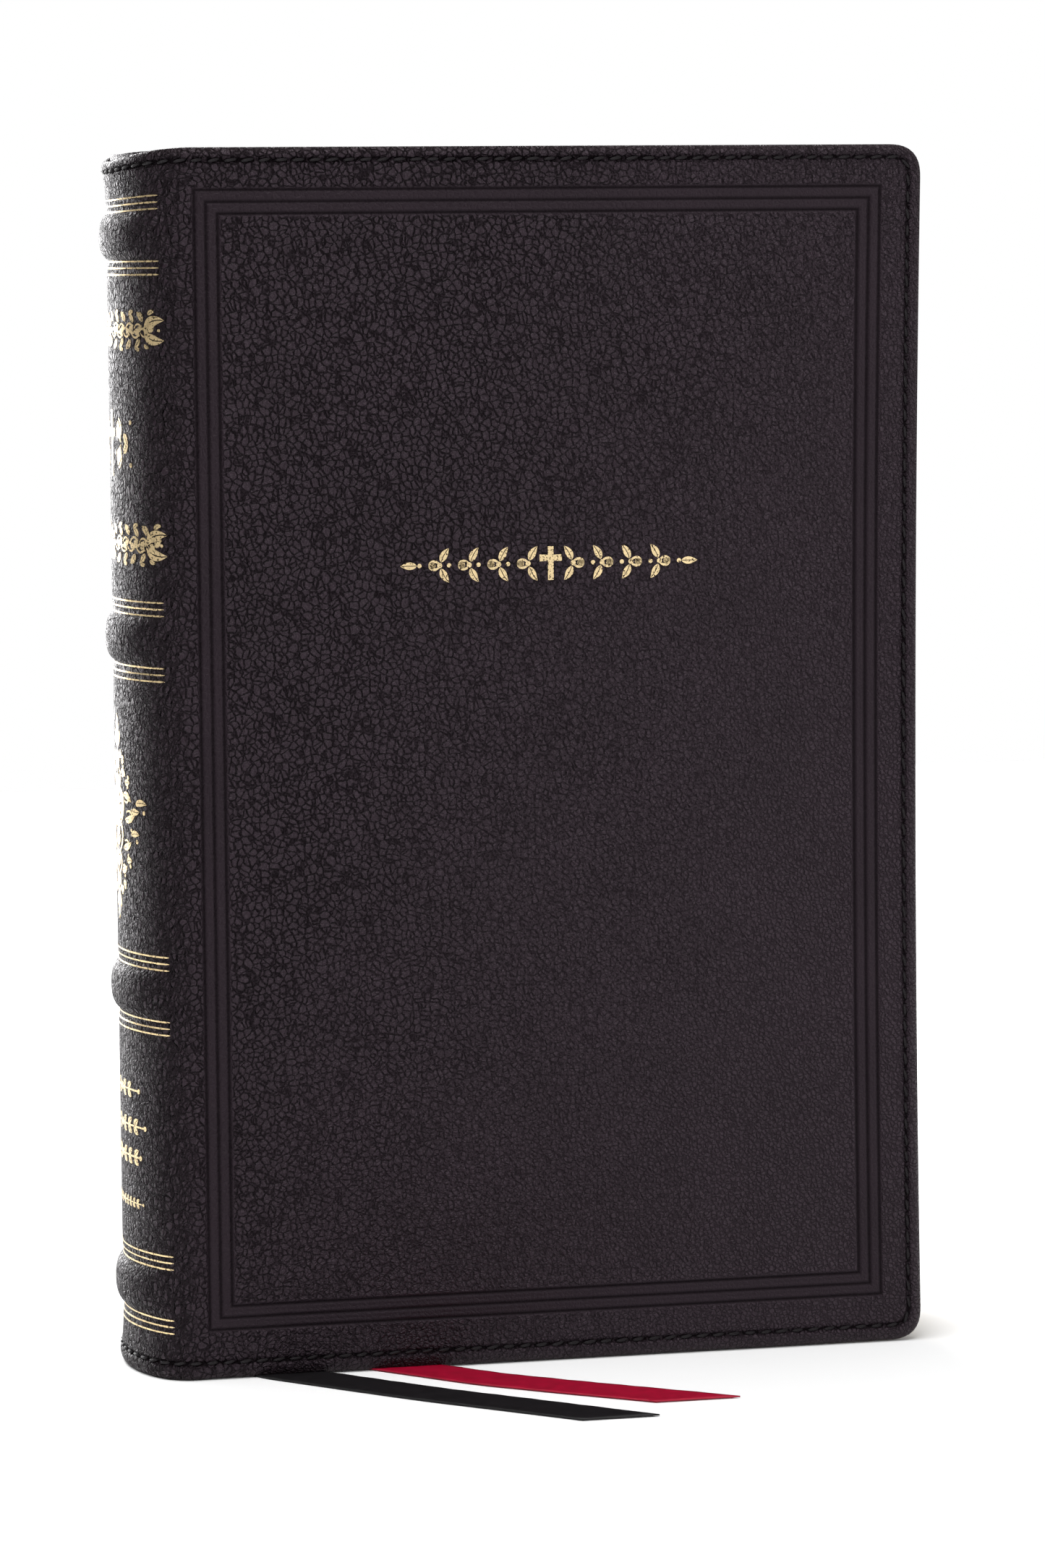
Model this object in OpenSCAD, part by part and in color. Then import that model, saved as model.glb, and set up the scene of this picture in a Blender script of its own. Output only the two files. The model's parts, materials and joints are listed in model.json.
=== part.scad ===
// Closed leather bible standing on its tail edge, with two ribbon markers lying on the table.
// Origin at the middle of its footprint: spine towards -X, front cover towards -Y, head up.

/* [Book] */
// Height of the covers, from tail to head
book_h = 232; // [224:1:240]
// Width from the raised bands to the fore-edge
book_w = 154.6; // [150:0.2:160]
// Thickness over both covers
book_t = 40; // [39:0.5:42]

/* [Covers] */
// Thickness of the leather
leather_t = 1.0; // [0.9:0.1:1.1]
// Thickness of the board in each cover
board_t = 1.2; // [1.1:0.1:1.3]
// Thickness of the lining sheet
lining_t = 0.5; // [0.4:0.1:0.6]
// Radius of the covers' fore-edge corners
corner_r = 6.5; // [5:0.5:8]
// Width of the leather turned in around the lining
turn_in = 9; // [7:1:12]
// Distance from one stitch to the next
stitch_pitch = 3.2; // [3:0.1:3.6]

/* [Spine] */
// Radius of the shoulder between the spine and each cover
shoulder_r = 8; // [7.5:0.1:8.5]
// How far the raised bands stand out of the spine
band_rise = 1.4; // [1.2:0.1:1.6]
// Height of each gold rule
rule_h = 0.4; // [0.3:0.1:0.6]

/* [Pages] */
// How far the covers stand out beyond the pages at head and tail
square_h = 3.5; // [3:0.5:4]
// How far the covers stand out beyond the pages at the fore-edge
square_w = 4; // [3.5:0.5:5]
// Depth of the hollow in the fore-edge of the pages
fore_hollow = 3.5; // [3:0.5:4]
// Width of each ribbon marker
ribbon_w = 10; // [8:1:10]

/* [Hidden] */
$fn = 96;
cut = 1;  // how far a cutting solid runs past what it cuts

half_w = book_w / 2;
half_t = book_t / 2;
cover_t = leather_t + board_t + lining_t;

// The spine's outline is three arcs, one round the back and one at each shoulder
spine_x = -half_w + band_rise;
shoulder_x = -half_w + 12.8;
shoulder_y = half_t - shoulder_r;
arc_gap = shoulder_x - spine_x - shoulder_r;
arc_x = shoulder_x + (pow(shoulder_y, 2) - pow(arc_gap, 2)) / (2 * arc_gap);
arc_r = arc_x - spine_x;
arc_a = atan(shoulder_y / (arc_x - shoulder_x));
shoulder_steps = 10;
back_steps = 24;

// Both cover joints, 0.3 mm outside the leather
hinge_x = shoulder_x + 2.5;
joint_gap = 0.3;
board_x = hinge_x + 3;
spine_end = hinge_x - joint_gap;
cover_start = hinge_x + joint_gap;
lift = 0.45;       // the front cover's tail edge rests on the ribbons as far as lift_end
lift_end = 42;

// Depths of the layers behind the spine's outer surface
inlay_t = 0.8;
hollow_t = 1.1;
kraft_t = 0.3;
mull_t = 0.2;
tape_t = 0.3;
inlay_in = leather_t + inlay_t;
hollow_in = inlay_in + hollow_t;
mull_in = hollow_in + mull_t;
fold_in = mull_in + tape_t;
rim_h = leather_t;

// Raised bands: the crest follows its own circle and runs out at the shoulders
band_z = [for (part_of_h = [0.07, 0.316, 0.604, 0.931]) part_of_h * book_h];
band_tube_r = 6;
crest_r = 24.9;
crest_x = -half_w + crest_r;
crest_a = 46;
band_root = 3.5;
strip_w = 4.4;

// Gold rules in threes on both sides of every band
rule_step = [4.9, 6.15, 7.4];
rule_reach = 18.6;
foil_t = 0.06;

// Tooled lines on the front cover
frame_x = [-63, 70];
frame_z = [9.3, book_h - 7.7];
frame_step = 2.2;
groove_w = 0.4;
groove_d = 0.2;

// Stitching
stitch_in = 2.8;
stitch_l = 2.4;
stitch_w = 0.6;
channel_w = 0.8;
channel_d = 0.45;
stitch_t = 0.4;

// Pages
page_z0 = square_h;
page_z1 = book_h - square_h;
fore_x = half_w - square_w;
page_half = half_t - cover_t - 0.15;
flyleaf_t = 0.25;
leaf_t = 1.2;
leaf_pitch = 1.3;
leaf_y = page_half - 0.35;
front_hinges = [-54, -51, -48, -45.4, -43, -40.6, -38.2];
back_hinges = [-54, -51, -48, -45.4];
flyleaf_x = -57;
stub_gap = 0.15;
fold_start = spine_end + 1.3;
core_y0 = -leaf_y + leaf_pitch * len(front_hinges);
core_y1 = leaf_y - leaf_pitch * len(back_hinges);
core_n = 7;
core_x = -40;
core_t = (core_y1 - core_y0) / core_n;
fore_r = (pow(page_half, 2) + pow(fore_hollow, 2)) / (2 * fore_hollow);

// Sewing supports across the folds
tape_z = [36, 88, 140, 192];
tape_h = 11;
kettle_z = [15, book_h - 15];
thread_h = 0.6;
headband_r = 1.1;

// Ribbon markers: routes of their free tails, from the foot of the pages to the cut end
ribbon_t = 0.3;
ribbon_slot = 0.02;
black_page_y = core_y0 + core_t;
red_page_y = core_y1 - 2 * core_t;
black_route = [
    [-52, black_page_y, page_z0], [-52, black_page_y, 2.2], [-52, -5.2, 1.2], [-52, -5.9, 0.5],
    [-52, -7, 0.15], [-51.3, -12, 0.15], [-49.3, -17, 0.15], [-46, -21, 0.15],
    [-40, -27.5, 0.15], [-34, -34, 0.15], [-24, -44.5, 0.15], [-15, -53, 0.15],
    [-6, -61.5, 0.15], [4.5, -71.5, 0.15]
];
red_route = [
    [-39, red_page_y, page_z0], [-39, red_page_y, 2.2], [-39, 5.8, 1.2], [-39, 5.1, 0.5],
    [-39, 4, 0.15], [-38.3, -1, 0.15], [-36.3, -6, 0.15], [-33, -10, 0.15],
    [-23, -21, 0.15], [-12, -33, 0.15], [-5, -39, 0.15], [2, -44.8, 0.15],
    [12, -52.6, 0.15], [22, -60.5, 0.15]
];

LEAVES = concat(
    [for (i = [1:len(front_hinges)]) str("front_leaves_", i)],
    [for (i = [1:len(back_hinges)]) str("back_leaves_", i)]
);
SECTIONS = [for (i = [1:core_n]) str("section_", i)];

function arc_points(centre, r, from, to, n) =
    [for (i = [0:n]) let (a = from + (to - from) * i / n) centre + r * [cos(a), sin(a)]];

// The spine's outline seen from above at a depth under its surface, solid as far as flat_x.
// Every depth has its corners at the same angles, so the layers meet face to face.
function spine_points(depth, flat_x) = concat(
    flat_x > shoulder_x ? [[flat_x, half_t - depth]] : [],
    arc_points([shoulder_x, shoulder_y], shoulder_r - depth, 90, 180 - arc_a, shoulder_steps),
    [
        for (i = [1:back_steps - 1])
            let (a = 180 - arc_a + 2 * arc_a * i / back_steps)
            [arc_x, 0] + (arc_r - depth) * [cos(a), sin(a)]
    ],
    arc_points([shoulder_x, -shoulder_y], shoulder_r - depth, 180 + arc_a, 270, shoulder_steps),
    flat_x > shoulder_x ? [[flat_x, depth - half_t]] : []
);

module spine_outline(depth, flat_x) {
    polygon(spine_points(depth, flat_x));
}

// One layer of the spine, between two depths, with flat ends that run on to flat_x
module spine_layer(from, to, z0, z1, flat_x) {
    translate([0, 0, z0])
        linear_extrude(z1 - z0)
        difference() {
            spine_outline(from, flat_x);
            spine_outline(to, flat_x + cut);
        }
}

// The part of a spine layer that is no further than reach from the middle of the spine
module spine_strip(from, to, z0, z1, reach) {
    translate([0, 0, z0])
        linear_extrude(z1 - z0)
        intersection() {
            difference() {
                spine_outline(from, shoulder_x);
                spine_outline(to, shoulder_x + cut);
            }
            translate([-book_w, -reach])
                square([book_w, 2 * reach]);
        }
}

// Rounded bars across the spine where the raised bands are
module band_bars() {
    for (z = band_z)
        translate([crest_x, 0, z])
        rotate([0, 0, 180 - crest_a])
        rotate_extrude(angle = 2 * crest_a)
        translate([crest_r - band_tube_r, 0])
        intersection() {
            circle(band_tube_r);
            translate([band_tube_r - band_root, -band_tube_r])
                square(2 * band_tube_r);
        }
}

// Everything behind a depth under the spine's surface
module behind_spine(depth) {
    translate([0, 0, -cut])
        linear_extrude(book_h + 2 * cut)
        spine_outline(depth, shoulder_x + 4);
}

// Outline of a cover seen from the front, drawn inset from its edges
module cover_outline(inset, start) {
    r = max(corner_r - inset, 0);
    x1 = half_w - inset;
    z0 = inset;
    z1 = book_h - inset;
    translate([start, z0])
        square([x1 - r - start, z1 - z0]);
    if (r > 0) {
        translate([x1 - r - cut, z0 + r])
            square([r + cut, z1 - z0 - 2 * r]);
        for (z = [z0 + r, z1 - r])
            translate([x1 - r, z])
            circle(r);
    }
}

// Stands a flat shape up as a sheet between two y values
module sheet(y0, y1) {
    translate([0, y1, 0])
        rotate([90, 0, 0])
        linear_extrude(y1 - y0)
        children();
}

// Places its children at every stitch of a cover, turned along the seam
module at_cover_stitches() {
    r = corner_r - stitch_in;
    x1 = half_w - stitch_in;
    run = x1 - r - cover_start;
    rise = book_h - 2 * stitch_in - 2 * r;
    for (i = [0:floor(run / stitch_pitch) - 1])
        for (z = [stitch_in, book_h - stitch_in])
            translate([x1 - r - (i + 0.5) * stitch_pitch, 0, z])
            children();
    for (i = [0:floor(rise / stitch_pitch) - 1])
        translate([x1, 0, stitch_in + r + (i + 0.8) * stitch_pitch])
        rotate([0, 90, 0])
        children();
    for (top = [0, 1])
        translate([x1 - r, 0, top * rise + stitch_in + r])
        rotate([0, top > 0 ? -45 : 45, 0])
        translate([r, 0, 0])
        rotate([0, 90, 0])
        children();
}

module cover_channel() {
    sheet(-half_t - cut, -half_t + channel_d)
        difference() {
            cover_outline(stitch_in - channel_w / 2, cover_start - cut);
            cover_outline(stitch_in + channel_w / 2, cover_start - 2 * cut);
        }
}

module tooled_frames() {
    for (i = [0:2])
        sheet(-half_t - cut, -half_t + groove_d)
        difference() {
            frame_rectangle(i * frame_step);
            frame_rectangle(i * frame_step + groove_w);
        }
}

module frame_rectangle(inset) {
    translate([frame_x[0] + inset, frame_z[0] + inset])
        square([frame_x[1] - frame_x[0] - 2 * inset, frame_z[1] - frame_z[0] - 2 * inset]);
}

// Leather of a cover: outer sheet, rims round the board, and the border turned in on the inside
module cover_leather_shape() {
    difference() {
        sheet(-half_t, -half_t + cover_t)
            cover_outline(0, cover_start);
        sheet(-half_t + leather_t, -half_t + leather_t + board_t)
            cover_outline(leather_t, cover_start - cut);
        sheet(-half_t + leather_t, -half_t + cover_t + cut)
            cover_outline(turn_in, cover_start - cut);
        translate([cover_start - cut, -half_t + leather_t, -cut])
            cube([board_x - cover_start + cut, cover_t, book_h + 2 * cut]);
        cover_channel();
    }
}

module cover_board_shape() {
    sheet(-half_t + leather_t, -half_t + leather_t + board_t)
        cover_outline(leather_t, board_x);
}

module cover_lining_shape() {
    sheet(-half_t + leather_t + board_t, -half_t + cover_t)
        cover_outline(turn_in, board_x);
}

module cover_stitching_shape() {
    at_cover_stitches()
        translate([-stitch_l / 2, -half_t + channel_d - stitch_t, -stitch_w / 2])
        cube([stitch_l, stitch_t, stitch_w]);
}

module front_cover_leather() {
    color("#2a1d1a")
    difference() {
        cover_leather_shape();
        tooled_frames();
        sheet(-half_t - cut, -half_t + foil_t)
            title_ornament();
        translate([cover_start - cut, -half_t - cut, -cut])
            cube([lift_end - cover_start + cut, cover_t + 2 * cut, lift + cut]);
    }
}

module front_cover_board() {
    color("#8a7a66") cover_board_shape();
}

module front_cover_lining() {
    color("#1d1715") cover_lining_shape();
}

module front_cover_stitching() {
    color("#0c0b0b") cover_stitching_shape();
}

module front_cover_foil() {
    color("#c9a860")
    sheet(-half_t, -half_t + foil_t)
        title_ornament();
}

// A small cross between two rows of lozenges and dots, in place of a title
module title_ornament() {
    cross_h = 6.2;
    bar = 1.2;
    arm = 4.4;
    lozenge = 4;
    translate([4.6, 153.5]) {
        translate([-bar / 2, -cross_h / 2])
            square([bar, cross_h]);
        for (side = [-1, 1]) {
            translate([side > 0 ? bar / 2 : -arm / 2, 0.6])
                square([(arm - bar) / 2, bar]);
            for (i = [1:4]) {
                translate([side * i * 6.4, 0])
                    rotate(45)
                    square(lozenge / sqrt(2), center = true);
                translate([side * (i * 6.4 - 3.2), 0])
                    circle(0.5);
            }
        }
    }
}

module back_cover_leather() {
    color("#2a1d1a") mirror([0, 1, 0]) cover_leather_shape();
}

module back_cover_board() {
    color("#8a7a66") mirror([0, 1, 0]) cover_board_shape();
}

module back_cover_lining() {
    color("#1d1715") mirror([0, 1, 0]) cover_lining_shape();
}

module back_cover_stitching() {
    color("#0c0b0b") mirror([0, 1, 0]) cover_stitching_shape();
}

module spine_leather() {
    color("#3a3038")
    difference() {
        union() {
            spine_layer(0, leather_t, 0, book_h, spine_end);
            for (z = [0, book_h - rim_h])
                spine_layer(leather_t - 0.1, inlay_in, z, z + rim_h, shoulder_x);
            difference() {
                band_bars();
                behind_spine(leather_t);
            }
        }
        band_strips();
        tooled_frames();
        for (z = [stitch_in, book_h - stitch_in])
            spine_layer(-cut, channel_d, z - channel_w / 2, z + channel_w / 2, hinge_x);
    }
}

module spine_inlay() {
    color("#b59d7c")
    spine_layer(leather_t, inlay_in, rim_h, book_h - rim_h, shoulder_x);
}

// The flat strips under the raised bands, thickest at the middle of the spine
module band_strips() {
    for (z = band_z)
        translate([0, 0, z - strip_w / 2])
        linear_extrude(strip_w)
        difference() {
            intersection() {
                translate([crest_x, 0]) circle(crest_r - leather_t);
                translate([-book_w, -half_t])
                    square([book_w + crest_x - crest_r * cos(crest_a), book_t]);
            }
            spine_outline(leather_t, shoulder_x + 4);
        }
}

module raised_band_strips() {
    color("#9c7f5b") band_strips();
}

// Stitches that carry the covers' seams across the head and tail of the spine
module spine_stitching() {
    back_n = 4;
    back_step = arc_a / (back_n + 0.3);
    side_step = (90 - arc_a) / 3;
    color("#0c0b0b")
    for (z = [stitch_in, book_h - stitch_in]) {
        for (i = [-back_n:back_n])
            translate([arc_x, 0, 0])
            rotate([0, 0, 180 + i * back_step])
            spine_stitch(arc_r, z);
        for (side = [-1, 1])
            for (i = [0.5:1:2.5])
                translate([shoulder_x, side * shoulder_y, 0])
                rotate([0, 0, 180 - side * (arc_a + i * side_step)])
                spine_stitch(shoulder_r, z);
    }
}

module spine_stitch(r, z) {
    translate([r - channel_d, -stitch_l / 2, z - stitch_w / 2])
        cube([stitch_t - 0.1, stitch_l, stitch_w]);
}

module spine_rules_foil() {
    color("#c9a860")
    for (z = band_z)
        for (side = [-1, 1])
            for (step = rule_step)
                rule(z + side * step);
}

module rule(z) {
    spine_strip(-foil_t, 0, z - rule_h / 2, z + rule_h / 2, rule_reach);
}

module spine_ornament_foil() {
    color("#c9a860")
    intersection() {
        spine_strip(-foil_t, 0, 0, book_h, rule_reach);
        translate([-half_w, 0, 0])
            rotate([90, 0, 90])
            linear_extrude(shoulder_r + arc_gap)
            spine_ornaments();
    }
}

// Wide bands of lozenges, a tall lozenge, a cross and short bars, drawn on the spine's width
module spine_ornaments() {
    for (z = [0.682, 0.854] * book_h)
        translate([0, z]) {
            lozenge(8, 8.4);
            for (side = [-1, 1]) {
                translate([side * 5.6, 0]) circle(0.9);
                translate([side * 10.4, 0]) lozenge(6.4, 6.4);
                translate([side * 15.2, 0]) circle(0.9);
            }
        }
    translate([0, 0.456 * book_h]) {
        difference() {
            lozenge(26, 38);
            lozenge(23, 33.6);
        }
        lozenge(8, 15);
        for (z = [-11.5, 11.5])
            translate([0, z]) circle(1.2);
    }
    translate([0, 0.763 * book_h]) {
        square([1.5, 12], center = true);
        for (side = [-1, 1])
            translate([side > 0 ? 0.75 : -3.75, 1.2])
            square([3, 1.5]);
    }
    for (row = [-1:1])
        translate([0, 0.2055 * book_h + row * 6.4]) {
            lozenge(2.6, 2.6);
            for (side = [-1, 1])
                translate([side * 6, 0])
                square([7, 0.7], center = true);
        }
}

module lozenge(w, h) {
    polygon([[-w / 2, 0], [0, -h / 2], [w / 2, 0], [0, h / 2]]);
}

// A flattened kraft tube: one wall glued to the inlay, the other to the pages' folds
module kraft_hollow() {
    margin = 4;
    color("#a8845a")
    difference() {
        spine_layer(inlay_in, hollow_in, margin, book_h - margin, shoulder_x);
        spine_strip(inlay_in + kraft_t, hollow_in - kraft_t, 0, book_h, shoulder_y + 2);
    }
}

module mull() {
    margin = 12;
    color("#e6e0d0")
    spine_layer(hollow_in, mull_in, margin, book_h - margin, hinge_x - 0.5);
}

module sewing_tapes() {
    color("#efe9dc")
    for (z = tape_z)
        spine_layer(mull_in, fold_in, z - tape_h / 2, z + tape_h / 2, shoulder_x + 1);
}

module sewing_thread() {
    beside_tape = (tape_h + thread_h) / 2;
    lines = concat(kettle_z, [for (z = tape_z) for (s = [-1, 1]) z + s * beside_tape]);
    color("#f4f0e6")
    for (z = lines)
        spine_layer(mull_in, fold_in, z - thread_h / 2, z + thread_h / 2, shoulder_x + 0.5);
}

module end_band(z) {
    translate([arc_x, 0, z])
        rotate([0, 0, 180 - arc_a])
        rotate_extrude(angle = 2 * arc_a)
        translate([arc_r - fold_in - headband_r, 0])
        circle(headband_r);
}

module head_band() {
    color("#b3883a") end_band(page_z1 + headband_r);
}

module tail_band() {
    color("#b3883a") end_band(page_z0 - headband_r);
}

// Solid round the concave fore-edge, taken away from the pages
module fore_edge_cut() {
    translate([fore_x - fore_hollow + fore_r, 0, -cut])
        cylinder(r = fore_r, h = book_h + 2 * cut);
}

// Leaves between two y values, from a fold line to the fore-edge
module leaves(x0, y0, y1) {
    difference() {
        translate([x0, y0, page_z0])
            cube([half_w - x0, y1 - y0, page_z1 - page_z0]);
        fore_edge_cut();
    }
}

module front_flyleaf() {
    color("#1d1715") leaves(flyleaf_x, -page_half, -page_half + flyleaf_t);
}

module back_flyleaf() {
    color("#1d1715") leaves(flyleaf_x, page_half - flyleaf_t, page_half);
}

module front_leaves(i) {
    y0 = -leaf_y + (i - 1) * leaf_pitch;
    color("#efe8d6") leaves(front_hinges[i - 1], y0, y0 + leaf_t);
}

module back_leaves(i) {
    y1 = leaf_y - (i - 1) * leaf_pitch;
    color("#efe8d6") leaves(back_hinges[i - 1], y1 - leaf_t, y1);
}

// The space inside the spine layers, between the foot and the head of the pages
module fold_space(end_x) {
    translate([0, 0, page_z0])
        linear_extrude(page_z1 - page_z0)
        spine_outline(fold_in, end_x);
}

// Sewn folds of the sections whose leaves turn: a step for every group of leaves
module sewn_folds(hinges, side) {
    y_core = leaf_y - leaf_pitch * len(hinges);
    mirror([0, side > 0 ? 0 : 1, 0]) {
        intersection() {
            fold_space(fold_start);
            translate([-half_w, y_core, 0])
                cube([half_w, half_t, book_h]);
        }
        for (i = [0:len(hinges) - 1])
            translate([fold_start - cut, y_core, page_z0])
            cube([
                hinges[i] - stub_gap - fold_start + cut,
                leaf_y + 0.05 - i * leaf_pitch - y_core,
                page_z1 - page_z0
            ]);
        translate([fold_start - cut, y_core, page_z0])
            cube([
                flyleaf_x - stub_gap - fold_start + cut,
                page_half - y_core,
                page_z1 - page_z0
            ]);
    }
}

module front_sewn_folds() {
    color("#e9e2d0") sewn_folds(front_hinges, -1);
}

module back_sewn_folds() {
    color("#e9e2d0") sewn_folds(back_hinges, 1);
}

// One section of the middle of the text block, with room for a ribbon that lies on it
module section(i) {
    y0 = core_y0 + (i - 1) * core_t;
    color("#efe8d6")
    difference() {
        union() {
            intersection() {
                fold_space(core_x);
                translate([-half_w, y0, 0])
                    cube([half_w, core_t, book_h]);
            }
            leaves(core_x - cut, y0, y0 + core_t);
        }
        ribbon_slot(black_route[0]);
        ribbon_slot(red_route[0]);
    }
}

module ribbon_slot(foot) {
    play = ribbon_slot;
    translate([foot[0] - ribbon_w / 2 - play, foot[1] - ribbon_t / 2 - play, -cut])
        cube([ribbon_w + 2 * play, ribbon_t + 2 * play, book_h + 2 * cut]);
}

module ribbon_marker(foot) {
    translate([foot[0] - ribbon_w / 2, foot[1] - ribbon_t / 2, page_z0])
        cube([ribbon_w, ribbon_t, page_z1 - page_z0]);
}

module ribbon_black_marker() {
    color("#121112") ribbon_marker(black_route[0]);
}

module ribbon_red_marker() {
    color("#8c1d20") ribbon_marker(red_route[0]);
}

function unit(v) = v / norm(v);
function step_dir(p, i) =
    unit(p[min(i + 1, len(p) - 1)] - p[max(i - 1, 0)]);
function level_side(d) =
    norm([d[0], d[1]]) < 0.2 ? [1, 0, 0] : unit([-d[1], d[0], 0]);

// The four corners of the ribbon at a point of its route. Its end is cut parallel to X.
function ribbon_ring(p, i) =
    let (
        last = i == len(p) - 1,
        d = i == 0 ? [0, 0, -1] : step_dir(p, i),
        level = level_side(d),
        side = last ? [ribbon_w / 2 / abs(level[0]), 0, 0] : level * ribbon_w / 2,
        up = unit(cross(d, level)) * ribbon_t / 2
    )
    [p[i] - side - up, p[i] + side - up, p[i] + side + up, p[i] - side + up];

module ribbon_tail(route) {
    n = len(route);
    points = [for (i = [0:n - 1]) each ribbon_ring(route, i)];
    sides = [
        for (i = [0:n - 2])
            for (k = [0:3])
                each [
                    [4 * i + k, 4 * i + (k + 1) % 4, 4 * i + 4 + k],
                    [4 * i + (k + 1) % 4, 4 * i + 4 + (k + 1) % 4, 4 * i + 4 + k]
                ]
    ];
    e = 4 * (n - 1);
    ends = [[0, 2, 1], [0, 3, 2], [e, e + 1, e + 2], [e, e + 2, e + 3]];
    polyhedron(points, concat(sides, ends));
}

module ribbon_black_tail() {
    color("#121112") ribbon_tail(black_route);
}

module ribbon_red_tail() {
    color("#8c1d20") ribbon_tail(red_route);
}

front_cover_leather();
front_cover_board();
front_cover_lining();
front_cover_stitching();
front_cover_foil();
back_cover_leather();
back_cover_board();
back_cover_lining();
back_cover_stitching();
spine_leather();
spine_inlay();
raised_band_strips();
spine_stitching();
spine_rules_foil();
spine_ornament_foil();
kraft_hollow();
mull();
sewing_tapes();
sewing_thread();
head_band();
tail_band();
front_flyleaf();
back_flyleaf();
front_sewn_folds();
back_sewn_folds();
ribbon_black_marker();
ribbon_red_marker();
ribbon_black_tail();
ribbon_red_tail();
for (i = [1:len(front_hinges)])
    front_leaves(i);
for (i = [1:len(back_hinges)])
    back_leaves(i);
for (i = [1:core_n])
    section(i);
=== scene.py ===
"""A closed leather bible on a pale floor: leather, foil, stitches, pages and ribbons round the CAD frame."""
import json
import math

import bpy
import numpy as np
from mathutils import Matrix, Vector


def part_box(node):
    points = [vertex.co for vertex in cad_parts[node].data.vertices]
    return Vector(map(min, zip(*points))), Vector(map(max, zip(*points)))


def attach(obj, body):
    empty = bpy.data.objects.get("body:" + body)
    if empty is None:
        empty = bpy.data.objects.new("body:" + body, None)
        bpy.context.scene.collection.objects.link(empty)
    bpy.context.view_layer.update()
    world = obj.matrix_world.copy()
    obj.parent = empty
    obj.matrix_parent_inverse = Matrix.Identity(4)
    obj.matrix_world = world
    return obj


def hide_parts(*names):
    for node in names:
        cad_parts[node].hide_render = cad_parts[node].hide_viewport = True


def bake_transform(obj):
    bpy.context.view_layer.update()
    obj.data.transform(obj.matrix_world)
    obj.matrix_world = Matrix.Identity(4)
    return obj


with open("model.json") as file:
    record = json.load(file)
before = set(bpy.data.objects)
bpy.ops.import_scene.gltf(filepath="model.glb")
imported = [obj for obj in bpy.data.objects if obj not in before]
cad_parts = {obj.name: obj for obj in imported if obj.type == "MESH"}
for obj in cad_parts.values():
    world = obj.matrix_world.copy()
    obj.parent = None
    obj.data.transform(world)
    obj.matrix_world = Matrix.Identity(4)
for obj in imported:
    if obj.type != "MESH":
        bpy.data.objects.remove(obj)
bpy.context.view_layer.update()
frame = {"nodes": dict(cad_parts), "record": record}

MM = 0.001
RNG = np.random.default_rng(7)

# Driving sizes, in metres, from the frame
SPINE_LO, SPINE_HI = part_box("spine_leather")
COVER_LO, COVER_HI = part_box("front_cover_leather")
HEIGHT = SPINE_HI[2]
HALF_W = COVER_HI[0]
HALF_T = -COVER_LO[1]
COVER_T = COVER_HI[1] - COVER_LO[1]
PAGE_LO, PAGE_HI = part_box("section_1")
HINGE = {j["name"]: j["pos_m"] for j in frame["record"]["behaviour"]["joints"]}
HINGE_X = HINGE["front_cover_hinge"][0]

# The spine's outline: an arc round the back and one at each shoulder
BAND_RISE = 1.4 * MM
SHOULDER_R = 8 * MM
SPINE_X = SPINE_LO[0] + BAND_RISE
SHOULDER_X = HINGE_X - 2.5 * MM
SHOULDER_Y = HALF_T - SHOULDER_R
ARC_GAP = SHOULDER_X - SPINE_X - SHOULDER_R
ARC_X = SHOULDER_X + (SHOULDER_Y**2 - ARC_GAP**2) / (2 * ARC_GAP)
ARC_R = ARC_X - SPINE_X
ARC_A = math.atan2(SHOULDER_Y, ARC_X - SHOULDER_X)
BACK_LEN = ARC_R * ARC_A
SHOULDER_LEN = SHOULDER_R * (math.pi / 2 - ARC_A)
FLAT_U = BACK_LEN + SHOULDER_LEN
FORE_U = FLAT_U + HALF_W - SHOULDER_X + 0.9 * MM

# The skins: their thicknesses, the turned edge's width, and the bands, tooled frame, foil and seam on them
LEATHER_T = 1.0 * MM
SPINE_T = 1.8 * MM
EDGE = 6.5 * MM
CORNER_PUSH = 0.08
SEAM_U = FLAT_U + 0.3 * MM
BAND_Z = [0.07 * HEIGHT, 0.316 * HEIGHT, 0.604 * HEIGHT, 0.931 * HEIGHT]
BAND_HALF = 4.5 * MM
BAND_REACH = 18.8 * MM
RULE_STEPS = [4.9 * MM, 6.15 * MM, 7.4 * MM]
FRAME_X = (-63 * MM, 70 * MM)
FRAME_Z = (9.3 * MM, HEIGHT - 7.7 * MM)
FRAME_STEP = 2.2 * MM
LINE_IN = 0.2 * MM
FOIL_SHIFT = 1.2 * MM
FOIL_T = 0.05 * MM
STITCH_PITCH = 3.2 * MM

# How the limp leather differs from a plain box
END_FLARE = 0.7 * MM
HEAD_DIP = 2.3 * MM
HEAD_DIP_FROM = 36 * MM
FORE_BOW = 1.1 * MM


# ---------------------------------------------------------------- camera

def aim_camera():
    """The photograph's view: a long lens a metre away, near the height of the book's head."""
    yaw, pitch, roll = math.radians(12.95), math.radians(5.97), math.radians(-0.47)
    place, lens, sensor = (-0.2247, -0.9918, 0.2159), 121.2, 36
    flat = math.cos(pitch)
    forward = Vector((math.sin(yaw) * flat, math.cos(yaw) * flat, -math.sin(pitch)))
    level = Vector((math.cos(yaw), -math.sin(yaw), 0))
    up = level.cross(forward)
    right = math.cos(roll) * level + math.sin(roll) * up
    top = -math.sin(roll) * level + math.cos(roll) * up
    data = bpy.data.cameras.new("camera")
    data.sensor_width, data.lens, data.clip_start = sensor, lens, 0.01
    camera = bpy.data.objects.new("camera", data)
    bpy.context.collection.objects.link(camera)
    turn = Matrix((right, top, -forward)).transposed()
    camera.matrix_world = Matrix.Translation(place) @ turn.to_4x4()
    bpy.context.scene.camera = camera


aim_camera()


# ---------------------------------------------------------------- mesh helpers

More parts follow.
